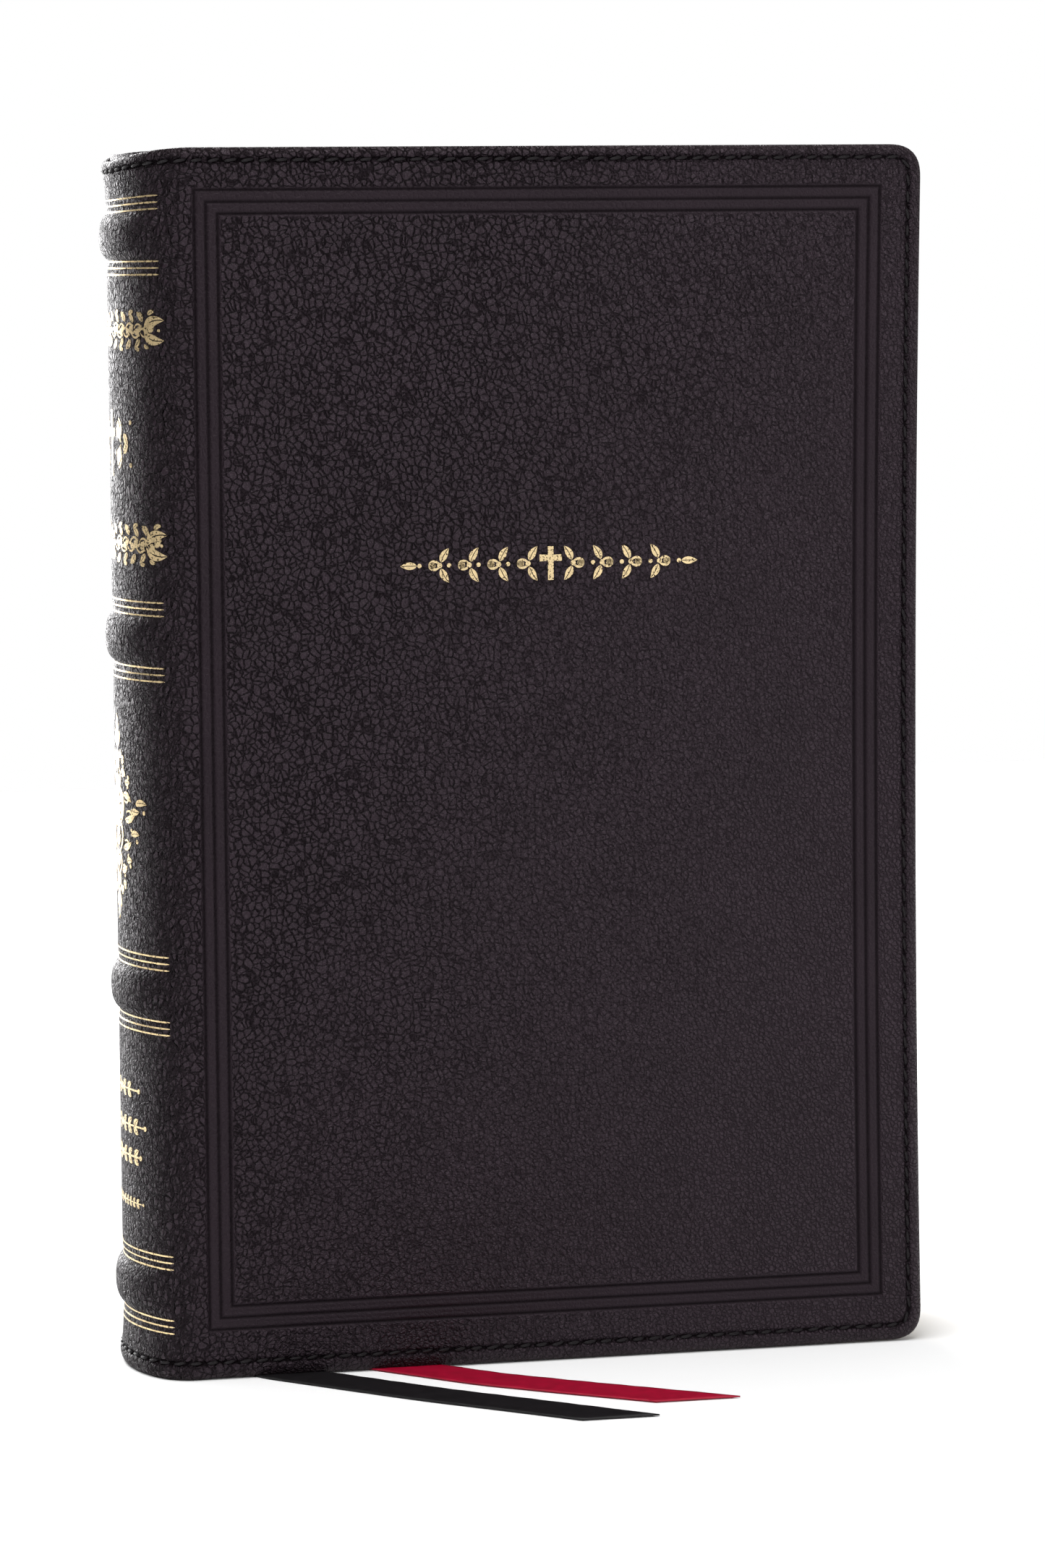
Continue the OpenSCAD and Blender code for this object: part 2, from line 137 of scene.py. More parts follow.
def new_mesh(name, vertices, faces, material, smooth=True, slots=None):
    """A mesh object. material is one material or a list, and slots gives each face's index in it."""
    data = bpy.data.meshes.new(name)
    data.from_pydata([tuple(v) for v in vertices], [], [tuple(f) for f in faces])
    for m in material if isinstance(material, list) else [material]:
        data.materials.append(m)
    if slots is not None:
        data.polygons.foreach_set("material_index", np.asarray(slots, dtype=np.int32))
    data.polygons.foreach_set("use_smooth", [smooth] * len(data.polygons))
    data.update()
    obj = bpy.data.objects.new(name, data)
    bpy.context.collection.objects.link(obj)
    keep_rest(obj)
    return obj


def tube_faces(start, rings, sides):
    """A closed tube over rings of vertices that follow each other from start: its wall, then its two ends."""
    last = start + (rings - 1) * sides
    wall = [(a + k, a + (k + 1) % sides, a + sides + (k + 1) % sides, a + sides + k)
            for a in range(start, last, sides) for k in range(sides)]
    return wall + [tuple(range(start + sides - 1, start - 1, -1)), tuple(range(last, last + sides))]


def bar_faces(a, b, c, d, n):
    """A closed bar between rows of n vertices that start at a, b, c and d: its sides, then its ends."""
    sides = [(p + i, p + i + 1, q + i + 1, q + i)
             for i in range(n - 1) for p, q in ((a, b), (d, c), (c, a), (b, d))]
    e = n - 1
    return sides + [(a, b, d, c), (b + e, a + e, c + e, d + e)]


def keep_rest(obj):
    """Stores each vertex's place at rest, in millimetres, which the patterns in the materials read."""
    co = np.empty(len(obj.data.vertices) * 3)
    obj.data.vertices.foreach_get("co", co)
    attribute = obj.data.attributes.new("rest_mm", "FLOAT_VECTOR", "POINT")
    attribute.data.foreach_set("vector", co / MM)


def point_values(obj, name, values):
    """Gives each vertex a value, which the materials read by its name."""
    attribute = obj.data.attributes.new(name, "FLOAT", "POINT")
    attribute.data.foreach_set("value", np.asarray(values, dtype=np.float32))


def ramp(t):
    """A smooth step from 0 to 1."""
    t = np.clip(t, 0, 1)
    return t * t * (3 - 2 * t)


# ---------------------------------------------------------------- materials

class Nodes:
    """A material's node tree with short calls for the nodes used here."""

    def __init__(self, name, colour, roughness, metallic=0.0, specular=0.5):
        self.material = bpy.data.materials.new(name)
        self.material.use_nodes = True
        self.tree = self.material.node_tree
        self.shader = self.tree.nodes["Principled BSDF"]
        self.set("Base Color", (*colour, 1))
        self.set("Roughness", roughness)
        self.set("Metallic", metallic)
        self.set("Specular IOR Level", specular)

    def set(self, socket, value):
        self.shader.inputs[socket].default_value = value

    def link(self, a, b):
        self.tree.links.new(a, b)

    def feed(self, socket, value):
        self.link(value, self.shader.inputs[socket])

    def node(self, kind, **settings):
        node = self.tree.nodes.new(kind)
        for key, value in settings.items():
            setattr(node, key, value)
        return node

    def rest(self):
        """The place at rest in millimetres."""
        return self.node("ShaderNodeAttribute", attribute_name="rest_mm").outputs["Vector"]

    def value(self, name):
        return self.node("ShaderNodeAttribute", attribute_name=name).outputs["Fac"]

    def scaled(self, vector, scale):
        node = self.node("ShaderNodeVectorMath", operation="MULTIPLY")
        self.link(vector, node.inputs[0])
        node.inputs[1].default_value = scale
        return node.outputs[0]

    def noise(self, vector, scale, detail=2.0, out="Fac"):
        node = self.node("ShaderNodeTexNoise")
        self.link(vector, node.inputs["Vector"])
        node.inputs["Scale"].default_value = scale
        node.inputs["Detail"].default_value = detail
        return node.outputs[out]

    def cells(self, vector, scale):
        """Distance to the edges of scattered cells."""
        node = self.node("ShaderNodeTexVoronoi", feature="DISTANCE_TO_EDGE")
        self.link(vector, node.inputs["Vector"])
        node.inputs["Scale"].default_value = scale
        return node.outputs["Distance"]

    def warped(self, vector, scale, amount):
        shift = self.node("ShaderNodeVectorMath", operation="MULTIPLY_ADD")
        self.link(self.noise(vector, scale, out="Color"), shift.inputs[0])
        shift.inputs[1].default_value = (amount, amount, amount)
        self.link(vector, shift.inputs[2])
        return shift.outputs[0]

    def span(self, value, low, high, to_low=0.0, to_high=1.0, smooth=False):
        node = self.node("ShaderNodeMapRange", interpolation_type="SMOOTHSTEP" if smooth else "LINEAR")
        self.link(value, node.inputs["Value"])
        for socket, number in zip(("From Min", "From Max", "To Min", "To Max"), (low, high, to_low, to_high)):
            node.inputs[socket].default_value = number
        return node.outputs["Result"]

    def math(self, operation, a, b):
        node = self.node("ShaderNodeMath", operation=operation)
        for socket, x in zip(node.inputs, (a, b)):
            if isinstance(x, (int, float)):
                socket.default_value = x
            else:
                self.link(x, socket)
        return node.outputs[0]

    def less(self, share, amount=1.0):
        """One, less an amount of a share."""
        return self.math("SUBTRACT", 1.0, self.math("MULTIPLY", share, amount))

    def mix(self, factor, a, b):
        node = self.node("ShaderNodeMix", data_type="RGBA")
        self.link(factor, node.inputs["Factor"])
        for socket, colour in ((node.inputs[6], a), (node.inputs[7], b)):
            if isinstance(colour, tuple):
                socket.default_value = (*colour, 1)
            else:
                self.link(colour, socket)
        return node.outputs[2]

    def stripes(self, vector, scale, direction="X", distortion=0.0):
        node = self.node("ShaderNodeTexWave", bands_direction=direction)
        self.link(vector, node.inputs["Vector"])
        node.inputs["Scale"].default_value = scale
        node.inputs["Distortion"].default_value = distortion
        return node.outputs["Fac"]

    def bump(self, height, distance, strength=1.0, after=None):
        node = self.node("ShaderNodeBump")
        self.link(height, node.inputs["Height"])
        node.inputs["Distance"].default_value = distance
        if isinstance(strength, float):
            node.inputs["Strength"].default_value = strength
        else:
            self.link(strength, node.inputs["Strength"])
        if after is not None:
            self.link(after, node.inputs["Normal"])
        self.feed("Normal", node.outputs["Normal"])
        return node.outputs["Normal"]

    def gilding(self):
        """The fine lines of gilded leaves, and their gold."""
        lines = self.noise(self.scaled(self.rest(), (0.6, 9.0, 0.12)), 1.0, 3.0)
        return lines, self.mix(self.span(lines, 0.35, 0.65), (0.52, 0.36, 0.15), (0.86, 0.67, 0.34))


def leather_material():
    """Pebbled black-brown hide: rounded plates with creases between them, flatter where it is tooled. Painted
    shade darkens the creases and grooves, and a painted highlight lightens the roll of the turned edges.
    """
    n = Nodes("leather_black", (0.012, 0.009, 0.0105), 0.5, specular=0.3)
    place = n.warped(n.warped(n.rest(), 0.2, 2.2), 1.1, 0.55)
    big = n.span(n.cells(place, 0.76), 0.0, 0.16, smooth=True)
    small = n.span(n.cells(n.warped(n.rest(), 0.9, 0.8), 1.2), 0.0, 0.22, smooth=True)
    wrinkles = n.noise(n.scaled(n.warped(n.rest(), 0.5, 1.0), (1.0, 1.0, 0.5)), 1.5, 4.0)
    pores = n.noise(n.rest(), 6.0, 3.0)
    tooled, spine, edge_highlight_share = n.value("tooled"), n.value("spine"), n.value("painted_edge_highlight")
    relief = n.less(tooled, 0.7)
    fine = n.math("MULTIPLY", relief, n.less(spine, 0.65))
    patch = n.span(n.noise(n.rest(), 0.03, 2.0), 0.3, 0.7, -0.08, 0.08)
    coarse = n.math("ADD", n.value("coarse"), patch)
    big_share = n.math("MULTIPLY", n.span(coarse, 0.15, 0.95, 0.10, 1.0), relief)
    small_share = n.math("MULTIPLY", n.span(coarse, 0.2, 1.0, 0.9, 0.5), fine)
    upright = n.scaled(n.warped(n.rest(), 0.8, 1.3), (1.0, 1.0, 0.42))
    folds = n.span(n.cells(upright, 0.80), 0.0, 0.2, smooth=True)
    bumps = n.bump(wrinkles, 0.00034, n.math("MULTIPLY", fine, 0.9))
    bumps = n.bump(folds, 0.00058, spine, bumps)
    bumps = n.bump(big, 0.00050, big_share, bumps)
    bumps = n.bump(small, 0.00024, small_share, bumps)
    n.bump(pores, 0.00004, 0.7, bumps)
    # Painted shade: this mask darkens the base colour in the grain's creases, the spine's folds, the tooled
    # lines and the seam's groove, and also where the leather is pressed by the tooling. It lowers the gloss
    # there too.
    crease_shade_and_tooling = n.math("ADD", n.math("MULTIPLY", n.less(big), big_share),
                    n.math("MULTIPLY", n.less(small), n.math("MULTIPLY", small_share, 0.6)))
    crease_shade_and_tooling = n.math("MAXIMUM", crease_shade_and_tooling, n.math("MULTIPLY", n.less(folds), spine))
    crease_shade_and_tooling = n.math("MAXIMUM", n.math("MULTIPLY", crease_shade_and_tooling, 0.72), n.math("MULTIPLY", tooled, 0.40))
    crease_shade_and_tooling = n.math("MINIMUM", n.math("ADD", crease_shade_and_tooling, n.math("MULTIPLY", n.value("groove"), 0.5)), 1.0)
    cloud = n.span(n.noise(n.rest(), 0.05, 3.0), 0.3, 0.7)
    tone = n.mix(cloud, (0.0092, 0.0050, 0.0080), (0.0130, 0.0074, 0.0114))
    # painted shade in the creases and grooves, and darker where the leather is pressed by the tooling
    tone = n.mix(crease_shade_and_tooling, tone, (0.0035, 0.0024, 0.0030))
    # painted highlight: lighter along the roll of the turned edges
    n.feed("Base Color", n.mix(edge_highlight_share, tone, (0.024, 0.017, 0.019)))
    n.set("Specular Tint", (1.0, 0.84, 0.94, 1))
    n.feed("Specular IOR Level", n.math("SUBTRACT", 0.31, n.math("MULTIPLY", crease_shade_and_tooling, 0.28)))
    rough = n.math("ADD", n.span(crease_shade_and_tooling, 0, 1, 0.42, 0.60), n.span(pores, 0.3, 0.7, -0.05, 0.05))
    n.feed("Roughness", n.math("SUBTRACT", rough, n.math("MULTIPLY", edge_highlight_share, 0.06)))
    return n.material


def gold_material():
    """Stamped foil: bright gold that has missed the deepest grain here and there."""
    gold = (0.86, 0.67, 0.38)
    n = Nodes("gold_foil", gold, 0.34, metallic=1.0)
    grain = n.noise(n.rest(), 2.6, 4.0)
    whole = n.span(grain, 0.38, 0.43, smooth=True)
    tone = n.mix(n.noise(n.rest(), 0.7, 2.0), tuple(0.86 * c for c in gold), gold)
    n.feed("Base Color", n.mix(whole, (0.10, 0.07, 0.04), tone))
    n.feed("Roughness", n.span(n.noise(n.rest(), 1.5, 3.0), 0.3, 0.7, 0.28, 0.46))
    n.bump(grain, 0.00003, 0.7)
    return n.material


def thread_material(name, colour, roughness=0.55, specular=0.35):
    """Twisted thread with fine diagonal plies, with painted shade between the plies and a painted highlight
    on them.
    """
    n = Nodes(name, colour, roughness, specular=specular)
    ply_relief_and_shade = n.stripes(n.warped(n.rest(), 2.0, 0.15), 2.2, "DIAGONAL")
    n.bump(ply_relief_and_shade, 0.00006, 0.8)
    # dark and light copies of the thread's colour by the plies: painted shade in the hollows, painted
    # highlight on the crests
    dark, light = (tuple(min(1, share * c) for c in colour) for share in (0.6, 1.25))
    n.feed("Base Color", n.mix(ply_relief_and_shade, dark, light))
    return n.material


def paper_material(name, light, dark):
    """Thin bible paper with fibres and slight clouding."""
    n = Nodes(name, light, 0.8, specular=0.3)
    fibres = n.noise(n.scaled(n.rest(), (1.0, 1.0, 2.5)), 1.8, 4.0)
    cloud = n.noise(n.rest(), 0.06, 3.0)
    both = n.math("ADD", n.math("MULTIPLY", fibres, 0.4), n.math("MULTIPLY", cloud, 0.6))
    n.feed("Base Color", n.mix(n.span(both, 0.35, 0.65), dark, light))
    n.bump(fibres, 0.00003, 0.4)
    return n.material


def gilt_material():
    """Gilded page edges: burnished gold with the lines of the leaves."""
    n = Nodes("gilt_edge", (0.80, 0.60, 0.28), 0.36, metallic=1.0)
    lines, gold = n.gilding()
    n.feed("Base Color", gold)
    n.feed("Roughness", n.span(lines, 0.3, 0.7, 0.5, 0.3))
    n.bump(lines, 0.00006, 0.8)
    return n.material


def lining_material():
    """Smooth lining sheet with a fine even grain."""
    n = Nodes("lining_black", (0.014, 0.012, 0.012), 0.55, specular=0.16)
    grain = n.span(n.cells(n.warped(n.rest(), 0.8, 0.4), 2.2), 0.0, 0.3, smooth=True)
    n.bump(grain, 0.00005, 0.6)
    cloud = n.noise(n.rest(), 0.08, 3.0)
    n.feed("Base Color", n.mix(cloud, (0.011, 0.0095, 0.0095), (0.018, 0.0155, 0.0155)))
    return n.material


def satin_material(name, light, dark):
    """Woven satin ribbon: fine ribs across it and a soft sheen along it."""
    n = Nodes(name, light, 0.38, specular=0.25)
    ribs = n.stripes(n.rest(), 1.6, "DIAGONAL", 0.4)
    n.feed("Base Color", n.mix(n.span(n.noise(n.rest(), 0.35, 3.0), 0.3, 0.7), dark, light))
    n.feed("Roughness", n.span(ribs, 0, 1, 0.34, 0.5))
    n.bump(ribs, 0.00003, 0.6)
    return n.material


def cloth_material(name, light, dark):
    """Plain open weave, for the mull and the tapes, with painted shade where the weave lies lower."""
    n = Nodes(name, light, 0.85, specular=0.2)
    weave_relief_and_shade = n.math("MULTIPLY", n.stripes(n.rest(), 0.9, "Y"), n.stripes(n.rest(), 0.9, "Z"))
    # painted shade: darker where the weave lies lower
    n.feed("Base Color", n.mix(weave_relief_and_shade, dark, light))
    n.bump(weave_relief_and_shade, 0.0001, 0.7)
    return n.material


def board_material(name, light, dark):
    """Pressed board or kraft: short fibres and flecks."""
    n = Nodes(name, light, 0.85, specular=0.2)
    fibres = n.noise(n.scaled(n.rest(), (1.0, 1.0, 0.25)), 1.6, 5.0)
    n.feed("Base Color", n.mix(n.span(fibres, 0.35, 0.65), dark, light))
    n.bump(fibres, 0.00008, 0.6)
    return n.material


def folds_material():
    """The sewn folds' paper, gilded where it comes out at the head and tail."""
    n = Nodes("fold_paper", (0.64, 0.60, 0.51), 0.7, specular=0.3)
    parts = n.node("ShaderNodeSeparateXYZ")
    n.link(n.rest(), parts.inputs[0])
    z = parts.outputs["Z"]
    low, high = 3.6, HEIGHT / MM - 3.6
    gilt = n.math("MAXIMUM", n.span(z, low, low - 0.05), n.span(z, high, high + 0.05))
    lines, gold = n.gilding()
    paper = n.mix(n.noise(n.rest(), 0.9, 4.0), (0.56, 0.52, 0.43), (0.66, 0.62, 0.53))
    n.feed("Base Color", n.mix(gilt, paper, gold))
    n.feed("Metallic", gilt)
    n.feed("Roughness", n.math("SUBTRACT", 0.75, n.math("MULTIPLY", gilt, 0.35)))
    n.bump(lines, 0.00004, 0.6)
    return n.material


LEATHER = leather_material()
GOLD = gold_material()
THREAD = thread_material("thread_black", (0.0065, 0.0045, 0.0058), 0.5, specular=0.2)
PAPER = paper_material("page_paper", (0.66, 0.62, 0.53), (0.58, 0.54, 0.45))
GILT = gilt_material()
LINING = lining_material()
SATIN_BLACK = satin_material("satin_black", (0.008, 0.007, 0.008), (0.004, 0.0035, 0.004))
SATIN_RED = satin_material("satin_red", (0.34, 0.001, 0.024), (0.25, 0.001, 0.017))


# ---------------------------------------------------------------- ribbons, which are the only cords

RIBBON_W = 10 * MM
RIBBON_T = 0.3 * MM
BLACK_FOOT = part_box("ribbon_black_marker")
RED_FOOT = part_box("ribbon_red_marker")

# Routes in millimetres: out of the foot of the pages, then along the table
BLACK_ROUTE = [
    (-52, None, None), (-52, None, 2.2), (-52, -5.2, 1.2), (-52, -5.9, 0.5), (-52, -7, 0.15),
    (-51.3, -12, 0.15), (-49.3, -17, 0.15), (-46, -21, 0.15), (-40, -27.5, 0.15), (-34, -34, 0.15),
    (-24, -44.5, 0.15), (-15, -53, 0.15), (-6, -61.5, 0.15), (4.5, -71.5, 0.15),
]
RED_ROUTE = [
    (-39, None, None), (-39, None, 2.2), (-39, 5.8, 1.2), (-39, 5.1, 0.5), (-39, 4, 0.15),
    (-38.3, -1, 0.15), (-36.3, -6, 0.15), (-33, -10, 0.15), (-23, -21, 0.15), (-12, -33, 0.15),
    (-5, -39, 0.15), (2, -44.8, 0.15), (12, -52.6, 0.15), (22, -60.5, 0.15),
]


def ribbon_route(route, foot):
    """The route in metres, with the foot of the pages filled in where it starts."""
    y = (foot[0][1] + foot[1][1]) / 2 / MM
    z = foot[0][2] / MM
    points = [(x, y if py is None else py, z if pz is None else pz) for x, py, pz in route]
    return np.array(points) * MM


def smooth_path(points, per_span):
    """Catmull-Rom points through a route."""
    p = np.vstack([2 * points[0] - points[1], points, 2 * points[-1] - points[-2]])
    out = []
    for i in range(1, len(p) - 2):
        for t in np.linspace(0, 1, per_span, endpoint=False):
            a, b, c, d = p[i - 1], p[i], p[i + 1], p[i + 2]
            square, cube = 2 * a - 5 * b + 4 * c - d, 3 * b - a - 3 * c + d
            out.append(0.5 * (2 * b + (c - a) * t + square * t**2 + cube * t**3))
    out.append(p[-2])
    return np.array(out)


def ribbon(name, route, foot, material, node):
    """A woven ribbon along its route: thick selvedges, a slight crown and an end cut on the slant."""
    path = smooth_path(ribbon_route(route, foot), 5)
    path[:, 2] = np.maximum(path[:, 2], RIBBON_T / 2)
    n, across = len(path), 13
    vertices, faces = [], []
    length = np.concatenate([[0], np.cumsum(np.linalg.norm(np.diff(path, axis=0), axis=1))])
    for i, p in enumerate(path):
        d = path[min(i + 1, n - 1)] - path[max(i - 1, 0)]
        d = d / np.linalg.norm(d)
        level = np.array([1.0, 0, 0]) if math.hypot(d[0], d[1]) < 0.2 or i < 6 else np.array([-d[1], d[0], 0])
        level = level / np.linalg.norm(level)
        cut = ramp((length[i] - length[-1] + 9 * MM) / (9 * MM))
        side = (1 - cut) * level * RIBBON_W / 2 + cut * np.array([RIBBON_W / 2 / abs(level[0]), 0, 0])
        up = np.cross(d, level)
        for sign in (1, -1):
            for k in range(across):
                a = 2 * k / (across - 1) - 1
                edge = 0.07 * MM * math.exp(-(((1 - abs(a)) / 0.10) ** 2))
                wave = 0.03 * MM * math.sin(length[i] * 900 + 2 * a)
                half = RIBBON_T / 2 - 0.05 * MM + edge * 0.7
                lift = sign * half + (wave if sign > 0 else 0)
                vertices.append(p + side * a + up * lift)
    row = 2 * across
    for i in range(n - 1):
        a, b = i * row, (i + 1) * row
        for k in range(across - 1):
            faces.append((a + k, a + k + 1, b + k + 1, b + k))
            faces.append((a + across + k + 1, a + across + k, b + across + k, b + across + k + 1))
        faces.append((a + across, a, b, b + across))
        faces.append((a + across - 1, a + 2 * across - 1, b + 2 * across - 1, b + across - 1))
    e = (n - 1) * row
    faces.append([*range(across - 1, -1, -1), *range(across, 2 * across)])
    faces.append([*range(e, e + across), *range(e + 2 * across - 1, e + across - 1, -1)])
    vertices = np.array(vertices)
    vertices[:, 2] = np.maximum(vertices[:, 2], 0.01 * MM)
    obj = new_mesh(name, vertices, faces, material)
    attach(obj, "root")
    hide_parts(node)
    return obj


ribbon("black_ribbon", BLACK_ROUTE, BLACK_FOOT, SATIN_BLACK, "ribbon_black_tail")
ribbon("red_ribbon", RED_ROUTE, RED_FOOT, SATIN_RED, "ribbon_red_tail")


# ---------------------------------------------------------------- the leather's shape

def outline(u):
    """Place (x, y) and outward normal (nx, ny) at a distance u round the spine, front positive."""
    u = np.asarray(u, float)
    s, side = np.abs(u), np.where(u >= 0, -1.0, 1.0)
    back = s / ARC_R
    shoulder = ARC_A + (s - BACK_LEN) / SHOULDER_R
    on_back, on_flat = s <= BACK_LEN, s > FLAT_U
    angle = np.where(on_back, back, np.where(on_flat, math.pi / 2, shoulder))
    cx = np.where(on_back, ARC_X, SHOULDER_X)
    cy = np.where(on_back, 0.0, SHOULDER_Y)
    r = np.where(on_back, ARC_R, SHOULDER_R)
    x = cx - r * np.cos(angle) + np.where(on_flat, s - FLAT_U, 0)
    y = side * (cy + r * np.sin(angle))
    return x, y, -np.cos(angle), side * np.sin(angle)


def flat_x(u):
    """The x of a place on the flat cover."""
    return SHOULDER_X + np.abs(u) - FLAT_U


def skin_point(u, z, n):
    """A point of the leather at distance u round, height z and height n over the surface.
    The spine's ends draw in a little at its middle, and the fore-edge bows in."""
    x, y, nx, ny = outline(u)
    ends = np.minimum(z, HEIGHT - z)
    flare = END_FLARE * np.exp(-((ends / (5 * MM)) ** 2)) * ramp((FLAT_U - np.abs(u)) / (12 * MM))
    x, y = x + nx * (n + flare), y + ny * (n + flare)
    around = ramp((FLAT_U + 2 * MM - np.abs(u)) / (FLAT_U + 2 * MM))
    dip = HEAD_DIP * around * np.clip(1 - (HEIGHT - z) / HEAD_DIP_FROM, 0, 1) ** 3
    along = (z - HEIGHT / 2) / (HEIGHT / 2)
    bow = FORE_BOW * (1 - along**2) * ramp(x / HALF_W)
    return np.stack([x - bow, y, z - dip], axis=-1)


def soft_waves(u, z):
    """The slow unevenness of a limp leather cover."""
    a = np.sin(u * 41 + 1.3) * np.sin(z * 33 + 0.4) + 0.6 * np.sin(u * 83 + z * 57 + 2.1)
    return 0.07 * MM * a * ramp((np.abs(u) - FLAT_U) / (20 * MM))


def frame_distance(u, z):
    """How far outside the tooled frame's outer limits a point lies, negative inside them."""
    (x0, x1), (z0, z1) = FRAME_X, FRAME_Z
    cx, cz = (x0 + x1) / 2, (z0 + z1) / 2
    return np.maximum(np.abs(flat_x(u) - cx) - (x1 - cx), np.abs(z - cz) - (z1 - cz))


def frame_depth(u, z):
    """How deep the three tooled frame lines are, and how far the leather between them is pressed smooth."""
    out = frame_distance(u, z)
    depth = np.zeros_like(out)
    for i in range(3):
        d = np.abs(out + i * FRAME_STEP + LINE_IN)
        depth -= 0.24 * MM * np.exp(-((d / (0.26 * MM)) ** 2))
        depth += 0.05 * MM * np.exp(-(((d - 0.65 * MM) / (0.25 * MM)) ** 2))
    pressed = ramp((out + 5.4 * MM) / (0.5 * MM)) * ramp((0.5 * MM - out) / (0.5 * MM))
    return depth - 0.05 * MM * pressed, pressed


def groove_shade_share(u, z):
    """How much painted shade the bottoms of the tooled lines get: one there, none away from them."""
    out = frame_distance(u, z)
    total = sum(np.exp(-(((out + i * FRAME_STEP + LINE_IN) / (0.3 * MM)) ** 2)) for i in range(3))
    return np.where(u > FLAT_U, total, 0)


def band_fade(u, power):
    """The bands are whole at the spine's middle and run out before the joints."""
    return np.clip(1 - (np.abs(outline(u)[1]) / BAND_REACH) ** power, 0, 1)


def band_height(u, z):
    """How far the leather stands up over the raised bands."""
    fade = band_fade(u, 2.6)
    total = np.zeros_like(fade)
    for zb in BAND_Z:
        w = np.clip(np.abs(z - zb) / BAND_HALF, 0, 1)
        total += BAND_RISE * fade * (1 - w**2.6) ** 0.8
    return np.where(np.abs(u) < FLAT_U, total, 0)


def band_foot(u, z):
    """The leather is pinched in beside every band, which it hugs tightly."""
    total = sum(np.exp(-(((np.abs(z - zb) - 5.2 * MM) / (1.0 * MM)) ** 2)) for zb in BAND_Z)
    return np.where(np.abs(u) < FLAT_U, -0.22 * MM * band_fade(u, 3) * total, 0)


def relief(u, z, tooled=True):
    """(height over the plain outline, how smoothly tooled) of the leather's outer surface."""
    u, z = np.broadcast_arrays(np.asarray(u, float), np.asarray(z, float))
    height = band_height(u, z) + band_foot(u, z) + soft_waves(u, z)
    if not tooled:
        return height, np.zeros_like(height)
    depth, pressed = frame_depth(u, z)
    on_front = u > FLAT_U
    return height + np.where(on_front, depth, 0), np.where(on_front, pressed, 0)


def spaced(low, high, step, extra=()):
    """Evenly spaced lines and the extra ones, with near doubles left out."""
    lines = list(np.linspace(low, high, int(round((high - low) / step)) + 1))
    fixed = [v for v in extra if low < v < high]
    lines = [v for v in lines if all(abs(v - f) > 0.12 * MM for f in fixed) or v in (lines[0], lines[-1])]
    merged = sorted(lines + fixed)
    out = [merged[0]]
    for v in merged[1:]:
        if v - out[-1] > 0.06 * MM:
            out.append(v)
    out[-1] = high
    return np.array(out)


# Where the grid has lines across a groove, in millimetres from its middle
GROOVE_OFFSETS = [-1.0, -0.65, -0.4, -0.2, 0, 0.2, 0.4, 0.65, 1.0]


def groove_lines(centres):
    return [c + o * MM for c in centres for o in GROOVE_OFFSETS]


def tooled_lines(low, high):
    """Where the frame's three lines run on both sides of it."""
    steps = [i * FRAME_STEP + LINE_IN for i in range(3)]
    return [low + step for step in steps] + [high - step for step in steps]


def skin_lines(u0):
    """The grid lines round the book and up it, close together at the tooled lines, bands and joint."""
    u_extra = groove_lines([FLAT_U + x - SHOULDER_X for x in tooled_lines(*FRAME_X)])
    u_extra += list(np.arange(max(u0, -FLAT_U), FLAT_U, 0.8 * MM))
    u_extra += list(np.arange(FLAT_U, FLAT_U + 7 * MM, 0.6 * MM))
    z_extra = groove_lines(tooled_lines(*FRAME_Z))
    z_extra += [zb + o * MM for zb in BAND_Z for o in np.arange(-6.3, 6.4, 0.45)]
    us = spaced(u0, FORE_U - EDGE, 3 * MM, u_extra)
    return us, spaced(EDGE, HEIGHT - EDGE, 3 * MM, z_extra)


def thickness(u):
    """The turned edge is the cover's full thickness on the covers and thinner on the spine."""
    return SPINE_T + (COVER_T - SPINE_T) * ramp((np.abs(u) - FLAT_U + 2 * MM) / (6 * MM))


def groove_inset(dz):
    """How far in the seam runs: 2.4 mm from the head, 2.8 from the fore-edge and 3.2 from the tail."""
    return (2.8 - 0.4 * dz) * MM


# The seam's groove in section: distance inwards from its middle and height, in millimetres
GROOVE_SECTION = [
    (0.95, 0.02), (0.6, -0.02), (0.35, -0.16), (0.12, -0.28),
    (-0.12, -0.28), (-0.35, -0.12), (-0.6, 0.05), (-0.9, 0.12),
]


def edge_profile(dz, t):
    """Samples (inset, height, whether outside) over the seam's groove, round the edge and inside."""
    g, r = groove_inset(dz), t / 2
    rows = [(5.4 * MM, 0.0, 1), (4.4 * MM, 0.0, 1)]
    for o, h in GROOVE_SECTION:
        rows.append((g + o * MM, h * MM, 1))
    start = g - 0.9 * MM
    for k in range(1, 13):
        a = math.pi / 2 - math.pi * k / 12
        e = r * (1 - math.cos(a)) if a < 0 else start * (1 - math.cos(a) ** 1.3)
        puff = 0.12 * MM * max(math.sin(a), 0)
        rows.append((max(e, 0), -r + r * math.sin(a) + puff, 1 if a > 0 else 0))
    rows += [(3.2 * MM, -t, 0), (4.8 * MM, -t, 0), (EDGE, -t, 0), (EDGE, -LEATHER_T - 0.02 * MM, 0)]
    return rows


def edge_stations(us, zs, vertex):
    """Where the edge's profile stands along the tail, up the fore-edge and back along the head, as
    (u, z, direction out in u and in z, the face's vertex there)."""
    nu, nz, corner = len(us), len(zs), 10
    stations = [(us[i], zs[0], 0.0, -1.0, vertex(i, 0)) for i in range(nu)]
    for k in range(1, corner):
        a = -math.pi / 2 + math.pi / 2 * k / corner
        stations.append((us[-1], zs[0], math.cos(a), math.sin(a), vertex(nu - 1, 0)))
    stations += [(us[-1], zs[j], 1.0, 0.0, vertex(nu - 1, j)) for j in range(nz)]
    for k in range(1, corner):
        a = math.pi / 2 * k / corner
        stations.append((us[-1], zs[-1], math.cos(a), math.sin(a), vertex(nu - 1, nz - 1)))
    return stations + [(us[i], zs[-1], 0.0, 1.0, vertex(i, nz - 1)) for i in range(nu - 1, -1, -1)]


